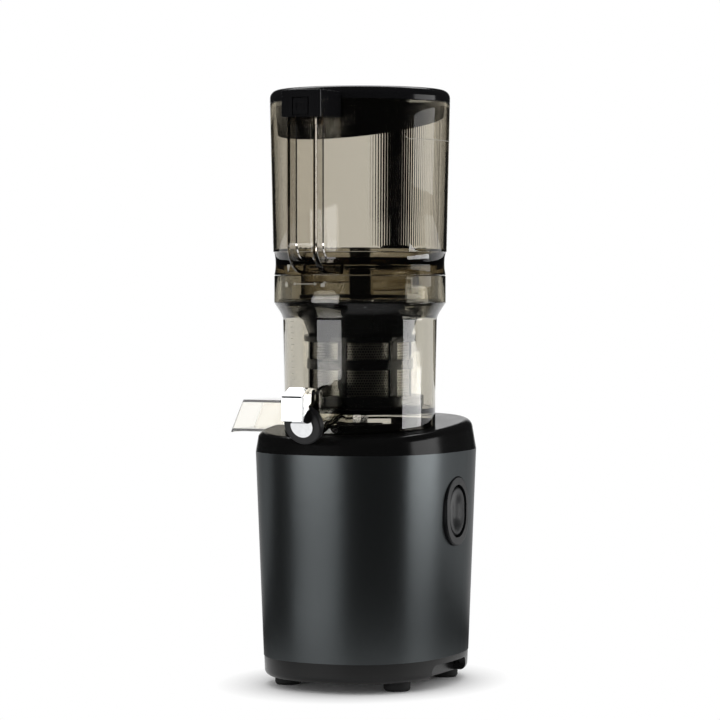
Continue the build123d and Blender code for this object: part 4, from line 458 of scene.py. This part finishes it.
class Form:
    """A closed mesh in the making, in millimetres about the drive axis."""

    def __init__(self, name: str, spots: Sequence[Spot], faces: Sequence[Sequence[int]]) -> None:
        """Starts from corners and faces.

        Args:
            name: name of the piece.
            spots: corners, in mm.
            faces: each face's corners by number.
        """
        mesh = bpy.data.meshes.new(name)
        mesh.from_pydata(spots, [], faces)
        work = bmesh.new()
        work.from_mesh(mesh)
        bmesh.ops.recalc_face_normals(work, faces=work.faces)
        work.to_mesh(mesh)
        work.free()
        self.thing = bpy.data.objects.new(name, mesh)
        self.tools: list["Form"] = []
        bpy.context.scene.collection.objects.link(self.thing)

    @classmethod
    def turned(
        cls, name: str, outline: Sequence[Point], turns: Sequence[float],
        shift: Callable[[int, float], Spot] | None = None,
    ) -> "Form":
        """Turns a closed outline of (radius, height) points about the drive axis.

        Args:
            name: name of the piece.
            outline: the closed outline, which may touch the axis in its end points.
            turns: plan angles in radians, all the way round.
            shift: gives the place of a point by its number in the outline and its plan angle.

        Returns:
            The closed form.
        """
        spots, faces = [], []
        count = len(outline)
        for turn in turns:
            for i, (radius, height) in enumerate(outline):
                if shift:
                    spots.append(shift(i, turn))
                else:
                    spots.append((radius * math.cos(turn), radius * math.sin(turn), height))
        for k in range(len(turns)):
            here, there = k * count, (k + 1) % len(turns) * count
            for i in range(count):
                j = (i + 1) % count
                faces.append((here + i, there + i, there + j, here + j))
        form = cls(name, spots, faces)
        work = bmesh.new()
        work.from_mesh(form.thing.data)
        bmesh.ops.remove_doubles(work, verts=work.verts, dist=1e-4)
        bmesh.ops.recalc_face_normals(work, faces=work.faces)
        work.to_mesh(form.thing.data)
        work.free()
        return form

    @classmethod
    def prism(cls, outline: Sequence[Point], low: float, high: float, along: Along = Along.Z) -> "Form":
        """A straight bar with a given outline.

        Args:
            outline: corners across the bar: (x, y) along z, (y, z) along x and (x, z) along y.
            low: where it starts.
            high: where it ends.
            along: axis of the bar.

        Returns:
            The closed form.
        """
        place = {
            Along.X: lambda u, v, w: (w, u, v),
            Along.Y: lambda u, v, w: (u, w, v),
            Along.Z: lambda u, v, w: (u, v, w),
        }[along]
        count = len(outline)
        spots = [place(u, v, w) for w in (low, high) for u, v in outline]
        faces: list[tuple[int, ...]] = [tuple(range(count)), tuple(range(count, 2 * count))]
        for i in range(count):
            j = (i + 1) % count
            faces.append((i, j, count + j, count + i))
        return cls("bar", spots, faces)

    @classmethod
    def block(cls, low: Spot, high: Spot) -> "Form":
        """A box between two corners."""
        outline = [(low[0], low[1]), (high[0], low[1]), (high[0], high[1]), (low[0], high[1])]
        return cls.prism(outline, low[2], high[2])

    @classmethod
    def rod(
        cls, radius: float, low: float, high: float, centre: Point = (0.0, 0.0), sides: int = 96
    ) -> "Form":
        """An upright rod between two heights."""
        x, y = centre
        outline = [(x + radius * math.cos(a), y + radius * math.sin(a)) for a in full_turn(sides)]
        return cls.prism(outline, low, high)

    @classmethod
    def wedge(
        cls, outer: float, inner: float, low: float, high: float, middle: float, spread: float
    ) -> "Form":
        """A piece of a ring, spread degrees wide about the plan angle middle."""
        steps = max(2, round(spread / 2))
        around = [math.radians(middle + spread * (i / steps - 0.5)) for i in range(steps + 1)]
        outline = [(outer * math.cos(a), outer * math.sin(a)) for a in around]
        outline += [(inner * math.cos(a), inner * math.sin(a)) for a in reversed(around)]
        return cls.prism(outline, low, high)

    def lay(self, matrix: Matrix) -> "Form":
        """Moves the form by a matrix in mm."""
        self.thing.data.transform(matrix)
        return self

    def work(self, how: Solve, *others: "Form") -> "Form":
        """Joins other forms to this one, or cuts them away.

        Args:
            how: whether they're joined or cut away.
            others: the forms, which are used up.

        Returns:
            This form.
        """
        for other in others:
            cut = self.thing.modifiers.new(how.name, "BOOLEAN")
            cut.operation = how.value
            cut.solver = "MANIFOLD"
            cut.object = other.thing
            self.tools.append(other)
        graph = bpy.context.evaluated_depsgraph_get()
        mesh = bpy.data.meshes.new_from_object(self.thing.evaluated_get(graph))
        self.thing.modifiers.clear()
        self.thing.data = mesh
        for other in self.tools:
            bpy.data.objects.remove(other.thing)
        self.tools.clear()
        return self

    def piece(self, look: "Look", smooth: float = 35.0) -> bpy.types.Object:
        """Ends the form: metres, shading, finish, and the body that it rides on.

        Args:
            look: finish, slot, body and the nodes that it stands for.
            smooth: edges that turn by fewer degrees than this are shaded round.

        Returns:
            The finished object.
        """
        mesh = self.thing.data
        mesh.name = self.thing.name
        mesh.transform(Matrix.Translation(AXIS) @ Matrix.Scale(MM, 4))
        mesh.shade_smooth()
        mesh.set_sharp_from_angle(angle=math.radians(smooth))
        mesh.materials.clear()
        mesh.materials.append(look.finish.material())
        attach(self.thing, look.body)
        if look.nodes:
            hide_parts(*look.nodes)
        LOG.info("made %s, %d faces, on %s", self.thing.name, len(mesh.polygons), look.body)
        return self.thing


@dataclass(frozen=True)
class Look:
    """What a modelled piece wears, rides on and stands for."""

    finish: "Finish"
    slot: str
    body: str
    nodes: tuple[str, ...] = ()


# ------------------------------------------------------------------ clear drum
@dataclass
class Drum:
    """Clear juicing drum with its spout and pulp chute in one moulding. Sizes are in mm."""

    collar_r: float = 72.0
    collar_wall: float = 3.0
    top: float = 341.9
    collar_low: float = 319.3
    shoulder: float = 318.3
    high_r: float = 64.6
    high: float = 305.0
    low_r: float = 63.3
    low: float = 244.0
    wall: float = 2.6
    floor: float = 231.0
    floor_low: float = 228.0
    hub_bore_r: float = 9.0
    hub_r: float = 12.0
    hub_top: float = 240.0
    cover_top: float = 215.7
    cover_slope: float = 0.07
    spout_end: Spot = (0.0, -110.5, 220.7)
    spout_slope: float = 17.6
    spout_r: float = 15.8
    spout_wall: float = 2.2
    spout_start: float = 6.3
    chute_low: Spot = (-121.0, -2.0, 209.0)
    chute_high: Spot = (-20.0, 42.0, 236.0)
    chute_wall: float = 2.2
    chute_slant: float = 12.0
    pulp_hole: tuple[float, float, float] = (-27.0, 17.0, 7.5)
    lug_angles: tuple[float, ...] = (-42.0, 78.0, 198.0)
    keeper: tuple[float, float, float] = (67.2, 335.2, 338.5)
    lug_spread: float = 27.0
    edge_r: float = 0.7

    def outer_r(self, height: float) -> float:
        """Radius of the outside at a height."""
        if height >= self.collar_low:
            return self.collar_r
        share = max(0.0, min(1.0, (height - self.low) / (self.high - self.low)))
        return self.low_r + (self.high_r - self.low_r) * share

    def flare(self) -> list[Point]:
        """Outer curve from the collar in to the wall."""
        start, end = Vector((self.collar_r, self.collar_low)), Vector((self.high_r, self.high))
        lean_in, lean_out = Vector((-6.5, -10.8)), Vector((0.0, -9.5))
        made = []
        for k in range(1, 13):
            t = k / 13
            spot = (
                start * (2 * t**3 - 3 * t**2 + 1) + lean_in * (t**3 - 2 * t**2 + t) * 1.2
                + end * (3 * t**2 - 2 * t**3) + lean_out * (t**3 - t**2) * 1.2
            )
            made.append((spot.x, spot.y))
        return made

    def shell(self) -> Form:
        """Collar, wall, floor with its hub, and skirt cut along the cover's slope."""
        inside, collar_in = self.low_r - self.wall, self.collar_r - self.collar_wall
        foot = self.cover_top
        corners = [
            (self.collar_r, self.top), (self.collar_r, self.collar_low), *self.flare(),
            (self.high_r, self.high), (self.low_r, self.low), (self.low_r, foot), (inside, foot),
            (inside, self.floor_low), (self.hub_bore_r, self.floor_low),
            (self.hub_bore_r, self.hub_top), (self.hub_r, self.hub_top), (self.hub_r, self.floor),
            (inside, self.floor), (inside, self.low), (self.high_r - self.wall, self.high - 1.0),
            (collar_in - 3.5, self.shoulder), (collar_in, self.shoulder), (collar_in, self.top),
        ]
        outline = rounded(corners, self.edge_r)

        def shift(i: int, turn: float) -> Spot:
            """Place of a point, with the skirt's foot on the cover's slope."""
            radius, height = outline[i]
            x, y = radius * math.cos(turn), radius * math.sin(turn)
            share = max(0.0, min(1.0, (self.floor_low - 4.0 - height) / (self.floor_low - 4.0 - foot)))
            return (x, y, height + share * self.cover_slope * y)

        return Form.turned("clear_drum", outline, full_turn(240), shift)

    def spout_matrix(self, back: float) -> Matrix:
        """Place of the spout's cross-section, back mm behind its front end, +Z out of the mouth."""
        slope = math.radians(self.spout_slope)
        out = Vector((0.0, -math.cos(slope), -math.sin(slope)))
        turn = out.to_track_quat("Z", "X").to_matrix().to_4x4()
        return Matrix.Translation(Vector(self.spout_end) - out * back) @ turn

    def spout_rod(self, radius: float, back: float, length: float) -> Form:
        """A rod along the spout, from back mm behind its front end towards the drum."""
        return Form.rod(radius, -length, 0.0, sides=72).lay(self.spout_matrix(back))

    def spout(self) -> Form:
        """The spout's tube, still solid, with the two ears for the cap's pin."""
        tube = self.spout_rod(self.spout_r, self.spout_start, 60.0)
        ear = [(-94.3, 232.5)] + arc((-100.5, 246.5), 3.2, 0.0, 180.0, 12) + [(-104.7, 232.5)]
        ears = [Form.prism(ear, x - 1.5, x + 1.5, Along.X) for x in (-10.4, 10.4)]
        core = Form.rod(self.low_r - self.wall / 2, self.floor_low - 30, self.top, sides=180)
        return tube.work(Solve.JOIN, *ears).work(Solve.CUT, core)

    def spout_bore(self) -> Form:
        """The way for the juice, which ends over the chamber's floor."""
        bore = self.spout_rod(self.spout_r - self.spout_wall, 1.0, 68.0)
        return bore.work(Solve.CUT, Form.rod(self.low_r, 190.0, self.floor, sides=180))

    def chute(self) -> Form:
        """The pulp chute, hollow, open at its slanted mouth."""
        (x0, y0, z0), (x1, y1, z1) = self.chute_low, self.chute_high
        wall, slant = self.chute_wall, self.chute_slant
        lip = [(x0, z0 - 1.0), (x0 + wall, z0 - 1.0), (x0 + wall + 0.2, z0)]
        side = [*lip, (x1, z0), (x1, z1), (x0 + slant, z1)]
        body = Form.prism(rounded(side, 0.5), y0, y1, Along.Y)
        clear = Form.rod(self.low_r - self.wall / 2, self.floor_low + 0.6, self.top, sides=180)
        return body.work(Solve.CUT, clear)

    def chute_bore(self) -> Form:
        """The room inside the chute."""
        (x0, y0, z0), (x1, y1, z1) = self.chute_low, self.chute_high
        wall = self.chute_wall
        low, high = (x0 - 5.0, y0 + wall, z0 + wall), (x1 - wall, y1 - wall, z1 - wall)
        return Form.block(low, high).work(
            Solve.CUT, Form.rod(self.low_r, self.floor_low, self.top, sides=180)
        )

    def build(self) -> None:
        """Makes the whole moulding."""
        inner, low, high = self.keeper
        collar_in = self.collar_r - self.collar_wall
        catches = []
        for angle in self.lug_angles:
            catches.append(Form.wedge(collar_in + 1, inner, low, high, angle, self.lug_spread))
            stop = angle - self.lug_spread / 2 - 1.5
            catches.append(Form.wedge(collar_in + 1, inner, self.shoulder + 2.8, high, stop, 1.5))
        (_, y0, z0), (x1, y1, _) = self.chute_low, self.chute_high
        window = Form.block((-self.low_r - 4, y0 + 0.3, z0 - 5), (x1 - 0.3, y1 - 0.3, self.floor_low - 0.3))
        x, y, radius = self.pulp_hole
        hole = Form.rod(radius, self.floor_low - 1, self.floor + 1, (x, y), 48)
        drum = self.shell().work(Solve.CUT, window).work(Solve.JOIN, *catches)
        drum.work(Solve.JOIN, self.chute()).work(Solve.JOIN, self.spout())
        drum.work(Solve.CUT, self.spout_bore(), self.chute_bore(), hole)
        drum.piece(Look(SMOKE_DRUM, "clear", "drum", ("juicing_drum", "juice_spout", "pulp_chute")))


# ------------------------------------------------------------------ clear hopper
@dataclass
class Hopper:
    """Clear hopper with fine upright ribs inside its wall. Sizes are in mm."""

    foot: Point = (72.1, 342.1)
    step: Point = (72.1, 361.5)
    neck_r: float = 70.9
    low_r: float = 72.8
    rim: Point = (75.5, 485.8)
    wall: float = 2.6
    floor_wall: float = 357.0
    floor_throat: float = 350.0
    throat_r: float = 47.0
    spigot_r: float = 66.5
    spigot_low: float = 322.0
    lug_angles: tuple[float, ...] = (-42.0, 78.0, 198.0)
    lug: tuple[float, float, float] = (68.6, 330.0, 334.5)
    lug_spread: float = 27.0
    rib_pitch: float = 1.8
    rib_from: float = -104.0
    rib_to: float = -2.0
    rib_height: float = 0.14
    edge_r: float = 0.8

    def outer_r(self, height: float) -> float:
        """Radius of the outside at a height."""
        if height >= self.step[1]:
            share = (height - self.step[1]) / (self.rim[1] - self.step[1])
            return self.low_r + (self.rim[0] - self.low_r) * share
        half = (self.step[1] - self.foot[1]) / 2
        deep = 1 - ((height - self.foot[1]) / half - 1) ** 2
        return self.foot[0] - (self.foot[0] - self.neck_r) * deep

    def outline(self) -> list[Point]:
        """Closed outline of the wall, floor, throat and spigot."""
        heights = [self.foot[1] + (self.step[1] - self.foot[1]) * k / 10 for k in range(1, 10)]
        neck = [(self.outer_r(height), height) for height in heights]
        inner_low, rim_in = self.low_r - self.wall, self.rim[0] - self.wall
        top, low = self.rim[1], self.floor_wall + 7.1
        inner = []
        for height in (top - 4.0, top - 5.0, low + 3.0, low + 2.0):
            share = (height - low) / (top - low)
            inner.append((inner_low + (rim_in - inner_low) * share, height))
        throat, bore = self.throat_r + self.wall, self.spigot_r - self.wall
        corners = [
            self.foot, *neck, self.step, (self.low_r, self.step[1]), self.rim, (rim_in, top), *inner,
            (inner_low, low), (inner_low - 4.0, self.floor_wall), (self.throat_r + 3.0, self.floor_throat),
            (self.throat_r, self.floor_throat - 3.0), (self.throat_r, self.spigot_low),
            (throat, self.spigot_low), (throat, self.floor_throat - 4.0), (bore, self.floor_wall - 6.0),
            (bore, self.spigot_low), (self.spigot_r, self.spigot_low), (self.spigot_r, self.foot[1]),
        ]
        return rounded(corners, self.edge_r)

    def turns(self) -> list[float]:
        """Plan angles, six to each rib and wider apart where there are none."""
        ribs = round((self.rib_to - self.rib_from) / self.rib_pitch)
        fine = [self.rib_from + self.rib_pitch * i / 6 for i in range(ribs * 6)]
        rest = 360.0 - (self.rib_to - self.rib_from)
        coarse = [self.rib_to + rest * i / 120 for i in range(120)]
        return [math.radians(a) for a in fine + coarse]

    def build(self) -> None:
        """Makes the hopper."""
        outline = self.outline()
        ribbed = {
            i for i, (radius, height) in enumerate(outline)
            if self.floor_wall + 9.5 < height < self.rim[1] - 4.5 and radius < self.rim[0] - self.wall
            and radius > self.low_r - self.wall
        }

        def shift(i: int, turn: float) -> Spot:
            """Place of a point, drawn in where a rib stands on the inside."""
            radius, height = outline[i]
            if i in ribbed:
                at = (math.degrees(turn) - self.rib_from) / self.rib_pitch
                ribs = (self.rib_to - self.rib_from) / self.rib_pitch
                if 0 < at < ribs:
                    radius -= self.rib_height * (0.5 - 0.5 * math.cos(2 * math.pi * at)) ** 3
            return (radius * math.cos(turn), radius * math.sin(turn), height)

        shell = Form.turned("clear_hopper", outline, self.turns(), shift)
        outer, low, high = self.lug
        lugs = [
            Form.wedge(outer, self.spigot_r - 1, low, high, angle, self.lug_spread)
            for angle in self.lug_angles
        ]
        shell.work(Solve.JOIN, *lugs).piece(Look(SMOKE_HOPPER, "clear", "hopper", ("hopper_shell",)))


# ------------------------------------------------------------------ strainer sleeve
@dataclass
class StrainerSleeve:
    """Thin steel tube with staggered rows of round holes. Sizes are in mm."""

    outer: float = 41.28
    thickness: float = 0.5
    low: float = 234.3
    high: float = 290.3
    around: int = 120
    rows: int = 26
    hole: float = 0.35

    def build(self) -> None:
        """Makes the tube, eight faces round each hole on both sides and eight in its wall."""
        pitch = (self.high - self.low) / self.rows
        cell = 2 * math.pi / self.around
        spots: list[Spot] = []
        faces: list[tuple[int, ...]] = []
        number: dict[tuple, int] = {}

        def spot(key: tuple, u: float, v: float, inside: int) -> int:
            """Number of a corner at cell units (u, v), made once."""
            key = (*key, inside)
            if key not in number:
                radius = self.outer - self.thickness * inside
                turn = u * cell
                number[key] = len(spots)
                spots.append((radius * math.cos(turn), radius * math.sin(turn), self.low + v * pitch))
            return number[key]

        edge = [
            (0.0, 0.0), (0.5, 0.0), (1.0, 0.0), (1.0, 0.5), (1.0, 1.0), (0.5, 1.0), (0.0, 1.0), (0.0, 0.5)
        ]
        for i in range(self.around):
            for j in range(self.rows):
                odd = j % 2
                rim = []
                for inside in (0, 1):
                    ring, hole = [], []
                    for k, (du, dv) in enumerate(edge):
                        half = i * 2 + round(du * 2) + odd
                        key = ("edge", half % (self.around * 2), j * 2 + round(dv * 2))
                        ring.append(spot(key, half / 2, j + dv, inside))
                        turn = math.radians(225 + 45 * k)
                        spin = (0.5 + self.hole * math.cos(turn), 0.5 + self.hole * math.sin(turn))
                        hole.append(spot(("hole", i, j, k), i + spin[0] + odd / 2, j + spin[1], inside))
                    for k in range(8):
                        n = (k + 1) % 8
                        faces.append((ring[k], ring[n], hole[n], hole[k]))
                    rim.append((ring, hole))
                for k in range(8):
                    n = (k + 1) % 8
                    faces.append((rim[0][1][k], rim[0][1][n], rim[1][1][n], rim[1][1][k]))
                for k, wanted in ((0, 0), (1, 0), (4, self.rows - 1), (5, self.rows - 1)):
                    if j == wanted:
                        n = (k + 1) % 8
                        faces.append((rim[0][0][k], rim[0][0][n], rim[1][0][n], rim[1][0][k]))
        Form("perforated_sleeve", spots, faces).piece(
            Look(MESH_STEEL, "mesh", "drum", ("strainer_mesh",))
        )


# ------------------------------------------------------------------ switch
@dataclass
class Rocker:
    """Rocker of the switch on the right wall, with a rolled edge and a dished face. Sizes are in mm."""

    width: float = 34.0
    height: float = 42.0
    depth: float = 3.9
    roll: float = 2.4
    dish: float = 2.0
    rings: int = 14
    chords: int = 6

    def ring(self, inset: float, steps: int = 20) -> list[Point]:
        """The slot-shaped outline, inset from its edge, as (y, z) about the switch's centre."""
        radius = self.width / 2 - inset
        rise = (self.height - self.width) / 2
        return arc((0.0, rise), radius, 0.0, 180.0, steps) + arc((0.0, -rise), radius, 180.0, 360.0, steps)

    def build(self) -> None:
        """Makes the rocker as rings that run over its edge and into the dish."""
        low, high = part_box("switch_rocker")
        middle = ((low + high) / 2 - AXIS) / MM
        front = (high.x - AXIS.x) / MM
        levels = [(0.0, front - self.depth)]
        for k in range(self.chords + 1):
            turn = math.radians(90 * k / self.chords)
            levels.append((self.roll * (1 - math.cos(turn)), front - self.roll * (1 - math.sin(turn))))
        reach = self.width / 2 - self.roll - 0.2
        for k in range(1, self.rings + 1):
            share = k / self.rings
            sunk = self.dish * math.sin(share * math.pi / 2) ** 2
            levels.append((self.roll + reach * share, front - sunk))
        spots, faces = [], []
        for inset, out in levels:
            spots += [(out, middle.y + y, middle.z + z) for y, z in self.ring(inset)]
        count = len(spots) // len(levels)
        for k in range(len(levels) - 1):
            for i in range(count):
                j = (i + 1) % count
                faces.append((k * count + i, k * count + j, (k + 1) * count + j, (k + 1) * count + i))
        faces += [tuple(range(count)), tuple(range(len(spots) - count, len(spots)))]
        Form("dished_rocker", spots, faces).piece(
            Look(SWITCH_BLACK, "switch", "rocker", ("switch_rocker",))
        )


# ------------------------------------------------------------------ printed marks
@dataclass
class Print:
    """Thin printed marks on a round wall. Sizes are in mm, across by the arc and up."""

    name: str
    body: str
    radius: Callable[[float], float]
    proud: float = 0.1
    sunk: float = 0.05

    def build(self, shapes: Sequence[tuple[float, float, Sequence[Point]]]) -> None:
        """Makes the marks.

        Args:
            shapes: for each mark its plan angle, its height and its outline, convex, in mm.
        """
        spots: list[Spot] = []
        faces: list[tuple[int, ...]] = []
        for angle, height, outline in shapes:
            start, count = len(spots), len(outline)
            for grow in (self.proud, -self.sunk):
                for across, up in outline:
                    radius = self.radius(height + up) + grow
                    turn = math.radians(angle) + across / self.radius(height)
                    spots.append((radius * math.cos(turn), radius * math.sin(turn), height + up))
            faces.append(tuple(range(start, start + count)))
            faces.append(tuple(range(start + count, start + 2 * count)))
            for i in range(count):
                j = (i + 1) % count
                faces.append((start + i, start + j, start + count + j, start + count + i))
        Form(self.name, spots, faces).piece(Look(PRINT_BEIGE, "clear", self.body))


def rectangle(width: float, height: float, across: float = 0.0, up: float = 0.0) -> list[Point]:
    """A rectangle about a point."""
    x, y = width / 2, height / 2
    return [(across - x, up - y), (across + x, up - y), (across + x, up + y), (across - x, up + y)]


def band(
    centre: Point, inner: float, outer: float, start: float, end: float, steps: int
) -> list[list[Point]]:
    """A piece of a flat ring as a row of four-cornered pieces."""
    near, far = arc(centre, inner, start, end, steps), arc(centre, outer, start, end, steps)
    return [[near[i], far[i], far[i + 1], near[i + 1]] for i in range(steps)]


@dataclass
class Marks:
    """Generic marks: how the hopper turns on and off, a fill line and a scale. Sizes are in mm."""

    line: float = 0.45

    def padlock(self, open_way: float) -> list[list[Point]]:
        """A padlock, whose bow is moved aside by open_way."""
        body = [rectangle(3.6, 2.9, 0.0, -1.0)]
        return body + band((open_way, 0.4), 0.95, 1.5, 0.0, 180.0, 6)

    def hopper(self) -> None:
        """Arrow at the hopper's foot and the fill line near its rim."""
        wall = Hopper().outer_r
        shapes = [(-121.0, 348.2, [(0.0, -3.4), (2.6, 2.6), (-2.6, 2.6)])]
        for i in range(19):
            shapes.append((-31.0 + 3.0 * i, 453.6, rectangle(4.02, self.line)))
        shapes.append((-33.0, 453.6, [(0.0, 0.0), (-2.6, 2.2), (-2.6, 1.6)]))
        Print("hopper_marks", "hopper", wall).build(shapes)

    def collar(self) -> None:
        """Closed padlock, arrow with two heads and open padlock on the drum's collar."""
        wall = Drum().outer_r
        shapes = [(-122.5, 335.0, outline) for outline in self.padlock(0.0)]
        shapes += [(-90.0, 335.0, outline) for outline in self.padlock(1.7)]
        for i in range(5):
            shapes.append((-110.5 + 3.0 * i, 335.0, rectangle(3.8, 0.6)))
        shapes.append((-112.6, 335.0, [(-2.4, 0.0), (0.0, -1.4), (0.0, 1.4)]))
        shapes.append((-96.4, 335.0, [(2.4, 0.0), (0.0, 1.4), (0.0, -1.4)]))
        Print("collar_marks", "drum", wall).build(shapes)

    def scale(self) -> None:
        """Fill scale on the drum's wall."""
        wall = Drum().outer_r
        shapes = []
        for step in range(11):
            long = step % 2 == 0
            width = 6.0 if long else 3.4
            shapes.append((-128.0, 256.0 + 4.8 * step, rectangle(width, self.line, width / 2)))
        Print("drum_scale", "drum", wall).build(shapes)


# ------------------------------------------------------------------ studio
@dataclass(frozen=True)
class Softbox:
    """A rectangular lamp that faces the object. Distances are in metres.

    angle is where it stands in plan, in degrees from the camera, + to the right. reach is its distance
    from the drive axis, height that of its centre, size its width and height, and power is in watts.
    """

    name: str
    angle: float
    reach: float
    height: float
    size: Point
    power: float


@dataclass
class Studio:
    """Floor, light and camera. Distances are in metres."""

    azimuth: float = 25.0
    pitch: float = 1.604
    distance: float = 2.517
    eye_height: float = 0.3415
    lens: float = 150.0
    base_middle: float = 0.008
    base_half: Point = (0.079, 0.097)
    card: Point = (-0.165, -0.40)
    card_edge: Point = (0.12, 0.17)
    room_light: float = 0.8
    mirrored_room: float = 0.015
    backdrop_edge: Point = (0.965, 0.985)
    floor_half: float = 6.0
    floor_tone: float = 0.96
    floor_far_tone: float = 0.03
    shadow_fade: Point = (0.95, 1.5)
    mirrored_white: Point = (0.3, 0.6)
    far_edge: Point = (0.14, 0.32)
    aim_height: float = 0.25
    lamps: tuple[Softbox, ...] = (
        Softbox("left_box", -47.0, 1.5, 0.15, (1.05, 0.29), 4.4),
        Softbox("right_box", 86.0, 1.5, 0.085, (1.05, 0.17), 4.0),
        Softbox("high_right_box", 90.0, 1.5, 0.51, (1.0, 0.26), 1.4),
        Softbox("top_box", 180.0, 0.9, 1.5, (1.2, 0.5), 5.0),
    )

    def camera(self) -> None:
        """Puts the camera where the front and the right side both show."""
        data = bpy.data.cameras.new("camera")
        data.lens = self.lens
        data.sensor_width = 36.0
        data.clip_end = 100.0
        thing = bpy.data.objects.new("camera", data)
        turn = math.radians(self.azimuth)
        thing.location = AXIS + Vector(
            (math.sin(turn) * self.distance, -math.cos(turn) * self.distance, self.eye_height)
        )
        thing.rotation_euler = (math.radians(90 - self.pitch), 0.0, turn)
        bpy.context.scene.collection.objects.link(thing)
        bpy.context.scene.camera = thing

    def backward(self) -> Spot:
        """Level direction from the object to the background."""
        turn = math.radians(self.azimuth)
        return (-math.sin(turn), math.cos(turn), 0.0)

    def world(self) -> None:
        """White background, also in metal and through clear plastic, in a dim studio."""
        world = bpy.data.worlds.new("studio")
        world.use_nodes = True
        bpy.context.scene.world = world
        sheet = NodeTree(world.node_tree)
        path = sheet.node("LightPath").outputs
        way = sheet.node("TexCoord").outputs["Generated"]
        behind = sheet.vector("DOT_PRODUCT", way, self.backward(), "Value")
        start, end = self.backdrop_edge
        backdrop = sheet.ramp(behind, (start, self.mirrored_room), (end, 1.0))
        light = sheet.node("Mix", {0: sheet.mirrors(path), 2: self.room_light, 3: backdrop}).outputs[0]
        level = sheet.node("Mix", {0: sheet.sees_background(path), 2: light, 3: 1.0}).outputs[0]
        back = sheet.node("Background", {"Color": (1.0, 1.0, 1.0), "Strength": level}).outputs[0]
        sheet.node("OutputWorld", {"Surface": back})

    def softbox(self, lamp: Softbox) -> None:
        """Adds a lamp.

        Args:
            lamp: its place, size and power.
        """
        data = bpy.data.lights.new(lamp.name, "AREA")
        data.shape = "RECTANGLE"
        data.size, data.size_y = lamp.size
        data.energy = lamp.power
        thing = bpy.data.objects.new(lamp.name, data)
        turn = math.radians(self.azimuth + lamp.angle)
        spot = Vector((math.sin(turn) * lamp.reach, -math.cos(turn) * lamp.reach, lamp.height))
        thing.location = AXIS + spot
        aim = Vector((0.0, 0.0, self.aim_height)) - spot
        thing.rotation_euler = aim.to_track_quat("-Z", "Y").to_euler()
        bpy.context.scene.collection.objects.link(thing)

    def floor(self) -> None:
        """Pale floor round the object, which turns into plain white further out.

        What gloss mirrors is white behind the object and on a card before the spout, and dark far off.
        """
        half = self.floor_half
        mesh = bpy.data.meshes.new("floor")
        corners = [
            (AXIS.x + x * half, AXIS.y + y * half, 0.0) for x, y in ((-1, -1), (1, -1), (1, 1), (-1, 1))
        ]
        mesh.from_pydata(corners, [], [(0, 1, 2, 3)])
        thing = bpy.data.objects.new("floor", mesh)
        bpy.context.scene.collection.objects.link(thing)
        sheet = NodeSheet("floor_white")
        middle = (AXIS.x, AXIS.y + self.base_middle, 0.0)
        far = sheet.vector("DISTANCE", sheet.place, middle, "Value")
        step = sheet.vector("SUBTRACT", sheet.place, middle)
        shape = (1 / self.base_half[0], 1 / self.base_half[1], 0.0)
        scaled = sheet.vector("MULTIPLY", step, shape)
        beside = sheet.node("VectorMath", {0: scaled}, operation="LENGTH").outputs["Value"]
        spot = (AXIS.x + self.card[0], AXIS.y + self.card[1], 0.0)
        off_card = sheet.vector("DISTANCE", sheet.place, spot, "Value")
        back = sheet.vector("DOT_PRODUCT", sheet.place, self.backward(), "Value")
        path = sheet.node("LightPath").outputs
        behind = sheet.ramp(back, (self.mirrored_white[0], 0.0), (self.mirrored_white[1], 1.0))
        on_card = sheet.ramp(off_card, (self.card_edge[0], 1.0), (self.card_edge[1], 0.0))
        mirrored = sheet.math("MULTIPLY", sheet.mirrors(path), sheet.math("MAXIMUM", behind, on_card))
        seen = sheet.math("MAXIMUM", sheet.sees_background(path), mirrored)
        fade = sheet.ramp(beside, (self.shadow_fade[0], 0.0), (self.shadow_fade[1], 1.0))
        share = sheet.math("MULTIPLY", fade, seen)
        away = sheet.ramp(far, (self.far_edge[0], 0.0), (self.far_edge[1], 1.0))
        edge = sheet.math("MULTIPLY", away, sheet.math("SUBTRACT", 1.0, seen))
        tones = {0: edge, 6: (self.floor_tone,) * 3, 7: (self.floor_far_tone,) * 3}
        tone = sheet.node("Mix", tones, data_type="RGBA").outputs[2]
        pale = sheet.node("BsdfDiffuse", {"Color": tone}).outputs[0]
        white = sheet.node("Emission", {"Color": (1.0, 1.0, 1.0), "Strength": 1.0}).outputs[0]
        mix = sheet.node("MixShader", {0: share, 1: pale, 2: white}).outputs[0]
        sheet.tree.links.new(mix, sheet.out.inputs["Surface"])
        mesh.materials.append(sheet.material)
        thing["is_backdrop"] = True

    def build(self) -> None:
        """Sets up everything round the object."""
        scene = bpy.context.scene
        scene.view_settings.view_transform = "Standard"
        scene.cycles.max_bounces = 24
        scene.cycles.transmission_bounces = 24
        scene.cycles.transparent_max_bounces = 32
        self.camera()
        self.world()
        self.floor()
        for lamp in self.lamps:
            self.softbox(lamp)


# ------------------------------------------------------------------ everything in order
def dress_cad() -> None:
    """Gives each node of the frame the finish of its material slot."""
    for name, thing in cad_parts.items():
        slot = thing.material_slots[0].material.name
        for place in thing.material_slots:
            place.material = CAD_FINISHES[slot].material()
        LOG.info("dressed %s in %s", name, slot)


def write_sizes() -> None:
    """Turns the frame's box and the finished object's box into plain lists."""
    boxes = {"cad": CAD_BOX, "visual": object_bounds()}
    plain = {name: [list(corner) for corner in box] for name, box in boxes.items()}


def main() -> None:
    """Builds the studio and the object, piece by piece."""
    Studio().build()
    dress_cad()
    Drum().build()
    Hopper().build()
    StrainerSleeve().build()
    Rocker().build()
    marks = Marks()
    marks.hopper()
    marks.collar()
    marks.scale()
    write_sizes()


if __name__ == "__main__":
    logging.basicConfig(level=logging.INFO, format="%(message)s")
    main()
